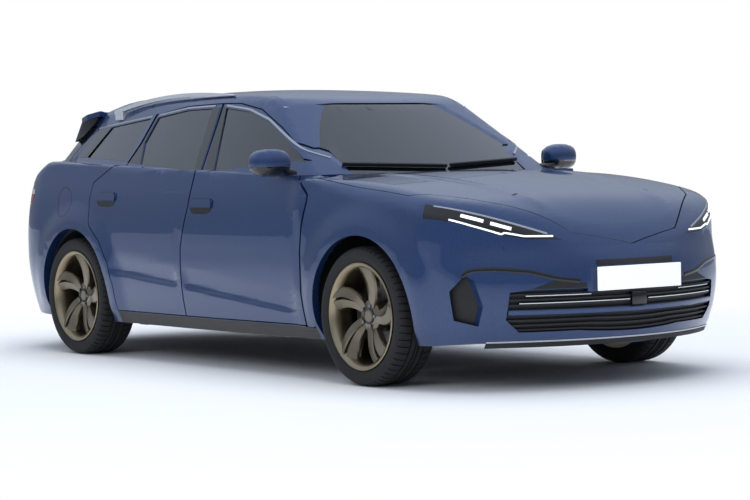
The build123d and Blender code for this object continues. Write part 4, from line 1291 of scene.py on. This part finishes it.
def cushion(size, bend=3.2, crown=0.08, rows=28):
    """Crowned closed pad about its own middle, with two sewn channels along it."""
    points, faces = [], []
    for i in range(rows + 1):
        v = -math.pi / 2 + math.pi * i / rows
        for j in range(2 * rows):
            u = 2 * math.pi * j / (2 * rows)
            raw = (math.cos(v) * math.cos(u), math.cos(v) * math.sin(u), math.sin(v))
            norm = sum(abs(c) ** bend for c in raw) ** (1 / bend)
            x, y, z = (c / norm for c in raw)
            z *= 1 + crown * (1 - x * x) * (1 - y * y)
            for seam in (-0.45, 0.45):
                z *= 1 - 0.10 * math.exp(-((y - seam) / 0.05) ** 2)
            points.append((x * size[0] / 2, y * size[1] / 2, z * size[2] / 2))
    n = 2 * rows
    for i in range(rows):
        for j in range(n):
            faces.append((i * n + j, i * n + (j + 1) % n, (i + 1) * n + (j + 1) % n, (i + 1) * n + j))
    return np.array(points), faces


def seat_mesh(x, y, width, depth, back_h, lean, heads):
    """Seat base, backrest and head restraints of one seat or bench."""
    parts = []
    base, faces = cushion((depth, width, 150))
    parts.append((base + np.array([x, y, 470]), faces))
    back, faces = cushion((back_h, width - 16, 135))
    back = turn(turn(back, "Y", -90) + np.array([0, 0, back_h / 2 - 30]), "Y", -lean)
    parts.append((back + np.array([x - depth / 2 + 20, y, 480]), faces))
    for hx, hy, hz, size in heads:
        head, faces = cushion(size, 2.8)
        parts.append((turn(head, "Y", -14) + np.array([hx, hy, hz]), faces))
        post, faces = rounded_box((14, 90, 130), 5)
        parts.append((turn(post, "Y", -14) + np.array([hx + 28, hy, hz - 85]), faces))
    foot, faces = rounded_box((depth * 0.66, width * 0.62, 196), 18)
    parts.append((foot + np.array([x - 5, y, 331]), faces))
    return joined(parts)


# Head restraint size; seats: node, then x, y, width, depth, back height, lean and (x, y, z, size) of each head
HEAD = (95, 250, 150)
SEATS = [
    ("seat_front_left", (330, 370, 500, 510, 640, 18, [(-92, 370, 1150, HEAD)])),
    ("seat_front_right", (330, -370, 500, 510, 640, 18, [(-92, -370, 1150, HEAD)])),
    ("seat_rear", (-540, 0, 1270, 470, 600, 20, [(-985, 370, 1100, HEAD), (-985, -370, 1100, HEAD)])),
]


class EstateSeats(bpy.types.Operator):
    """Padded seats"""

    bl_idname = "estate.seats"
    bl_label = "Seats"

    def execute(self, context):
        for name, args in SEATS:
            points, faces = seat_mesh(*args)
            obj = outward(mesh_object(name + "_padded", points, faces, 50))
            dress(obj, seat_cloth(), BODY_OF[name], [name])
        return {"FINISHED"}


# Door mirror: size and middle of its housing, where its glass side is flattened, height of its parting line
MIRROR_SIZE = (156, 200, 140)
MIRROR_AT = (766, 954, 1076)
MIRROR_FLAT_X = -48
MIRROR_PART_Z = 1057


class EstateMirrors(bpy.types.Operator):
    """Door mirrors: painted cap, dark lower shell, foot and glass"""

    bl_idname = "estate.mirrors"
    bl_label = "Door mirrors"

    def execute(self, context):
        for side, hand in SIDES:
            points, faces = cushion(MIRROR_SIZE, 2.7, 0.0, 24)
            x = points[:, 0]
            points[:, 0] = np.where(x < MIRROR_FLAT_X, MIRROR_FLAT_X + (x - MIRROR_FLAT_X) * 0.25, x)
            points[:, 0] -= 0.10 * points[:, 1]
            points += np.array(MIRROR_AT)
            points[:, 1] *= hand
            body = BODY_OF[f"mirror_{side}"]
            upper, lower = points.copy(), points.copy()
            upper[:, 2] = np.maximum(points[:, 2], MIRROR_PART_Z)
            lower[:, 2] = np.minimum(points[:, 2], MIRROR_PART_Z - 1)
            cap = outward(mesh_object(f"mirror_{side}_cap", upper, faces, 50))
            dress(cap, paint(), body, [f"mirror_{side}"])
            dress(outward(mesh_object(f"mirror_{side}_shell", lower, faces, 50)), black_gloss(), body)
            foot, faces = rounded_box((96, 90, 40), 14)
            foot[:, 2] += (foot[:, 1] + 45) * 0.25
            foot += np.array([774, 866, 1018])
            foot[:, 1] *= hand
            dress(outward(mesh_object(f"mirror_{side}_foot", foot, faces, 40)), black_gloss(), body)
            pane, faces = cushion((6, 166, 106), 4, 0.0, 16)
            pane += np.array([712, 954, 1074])
            pane[:, 1] *= hand
            glass = outward(mesh_object(f"mirror_{side}_glass", pane, faces, 40))
            dress(glass, bright_chrome(), body)
        return {"FINISHED"}


# Solids that show as they are, and their finishes
CARRIED = {
    "engine_block": cast_iron, "front_axle_frame": under_steel, "rear_axle_frame": under_steel,
    "floor_pan": under_steel, "cowl_panel": black_plastic, "wheel_housings": black_plastic,
    "dashboard": black_plastic, "steering_wheel": black_plastic, "roof_rails": rail_silver,
    "knuckle_front_left": cast_iron, "knuckle_front_right": cast_iron,
    "brake_disc_front_left": turned_iron, "brake_disc_front_right": turned_iron,
    "brake_disc_rear_left": turned_iron, "brake_disc_rear_right": turned_iron,
}


class EstateCarried(bpy.types.Operator):
    """Finishes of the solids that show as they are"""

    bl_idname = "estate.carried"
    bl_label = "Carried-over solids"

    def execute(self, context):
        for name, material in CARRIED.items():
            NODES[name].data.materials.clear()
            NODES[name].data.materials.append(material())
        return {"FINISHED"}


# Camera fitted to the photograph: place in metres, heading, pitch and roll in degrees, focal length in
# pixels of an image IMAGE_W wide
CAMERA = {"place": (10.198, -7.231, 1.079), "yaw": 143.74, "pitch": -2.27, "roll": -1.24, "focal": 2266.0}
IMAGE_W = 750.0
SENSOR_W = 36.0
# Soft lights: name, place and size in metres, power in watts
LIGHTS = [
    ("overhead", (0.0, 0.0, 6.5), (9, 5), 330), ("key", (4, -8, 4.5), (6, 3), 170),
    ("back", (-6, 6, 4), (5, 3), 150),
]


class EstateStagePieces(bpy.types.Operator):
    """Pale floor, soft studio light and the camera"""

    bl_idname = "estate.stage"
    bl_label = "Stage"

    def execute(self, context):
        scene = context.scene
        scene.view_settings.view_transform = "Standard"
        mesh = bpy.data.meshes.new("floor")
        mesh.from_pydata([(-60, -60, 0), (60, -60, 0), (60, 60, 0), (-60, 60, 0)], [], [(0, 1, 2, 3)])
        floor = bpy.data.objects.new("floor", mesh)
        scene.collection.objects.link(floor)
        mesh.materials.append(studio_floor())
        world = bpy.data.worlds.new("studio")
        scene.world = world
        world.use_nodes = True
        tree = world.node_tree
        tree.nodes.clear()
        path = node(tree, "ShaderNodeLightPath")
        seen = node(tree, "ShaderNodeMath", {"operation": "MAXIMUM"}, _0=path.outputs["Is Camera Ray"],
                    _1=path.outputs["Is Transmission Ray"]).outputs[0]
        coords = node(tree, "ShaderNodeTexCoord").outputs["Generated"]
        height = node(tree, "ShaderNodeSeparateXYZ", Vector=coords).outputs["Z"]
        ramp = node(tree, "ShaderNodeMapRange", Value=height, From_Min=-0.08, From_Max=0.5, To_Min=0.16,
                    To_Max=0.9).outputs[0]
        soft = node(tree, "ShaderNodeBackground", Color=linear("#d3def0"), Strength=ramp)
        white = node(tree, "ShaderNodeBackground", Color=(1, 1, 1, 1), Strength=1.0)
        both = node(tree, "ShaderNodeMixShader", _0=seen, _1=soft.outputs[0], _2=white.outputs[0])
        out = node(tree, "ShaderNodeOutputWorld")
        tree.links.new(both.outputs[0], out.inputs[0])
        for name, place, size, power in LIGHTS:
            lamp = bpy.data.lights.new(name, "AREA")
            lamp.shape = "RECTANGLE"
            lamp.size, lamp.size_y = size
            lamp.energy = power * scene.estate_stage.light
            holder = bpy.data.objects.new(name, lamp)
            holder.location = place
            holder.rotation_euler = (Vector((0, 0, 0.6)) - Vector(place)).to_track_quat("-Z", "Y").to_euler()
            holder.visible_glossy = False
            scene.collection.objects.link(holder)
        lens = bpy.data.cameras.new("photo_camera")
        lens.sensor_fit = "HORIZONTAL"
        lens.sensor_width = SENSOR_W
        lens.lens = CAMERA["focal"] / IMAGE_W * SENSOR_W
        lens.clip_end = 300
        camera = bpy.data.objects.new("photo_camera", lens)
        yaw, pitch, roll = (math.radians(CAMERA[k]) for k in ("yaw", "pitch", "roll"))
        ahead = Vector((math.cos(yaw) * math.cos(pitch), math.sin(yaw) * math.cos(pitch), math.sin(pitch)))
        turned = ahead.to_track_quat("-Z", "Y").to_matrix() @ Matrix.Rotation(roll, 3, "Z")
        camera.matrix_world = Matrix.Translation(CAMERA["place"]) @ turned.to_4x4()
        scene.collection.objects.link(camera)
        scene.camera = camera
        return {"FINISHED"}


OPERATORS = [
    EstatePanels, EstateGlass, EstateLamps, EstateGrille, EstateNumberPlate, EstateRear, EstateTrim,
    EstateHandles, EstateFittings, EstateTailgateTrim, EstateMirrors, EstateWheelPieces, EstateSeats,
    EstateCarried, EstateStagePieces,
]


class EstatePanel(bpy.types.Panel):
    """Lists the pieces of the estate car"""

    bl_idname = "VIEW3D_PT_estate"
    bl_label = "Estate car"
    bl_space_type = "VIEW_3D"
    bl_region_type = "UI"
    bl_category = "Estate"

    def draw(self, context):
        for operator in OPERATORS:
            self.layout.operator(operator.bl_idname)


SETTINGS = [("estate_body", EstateBody), ("estate_wheels", EstateWheels), ("estate_stage", EstateStage)]


def register():
    for name, group in SETTINGS:
        bpy.utils.register_class(group)
        setattr(bpy.types.Scene, name, PointerProperty(type=group))
    for cls in OPERATORS + [EstatePanel]:
        bpy.utils.register_class(cls)


def unregister():
    for cls in reversed(OPERATORS + [EstatePanel]):
        bpy.utils.unregister_class(cls)
    for name, group in reversed(SETTINGS):
        delattr(bpy.types.Scene, name)
        bpy.utils.unregister_class(group)


def main():
    register()
    for operator in OPERATORS:
        group, action = operator.bl_idname.split(".")
        getattr(getattr(bpy.ops, group), action)()


if __name__ == "__main__":
    main()
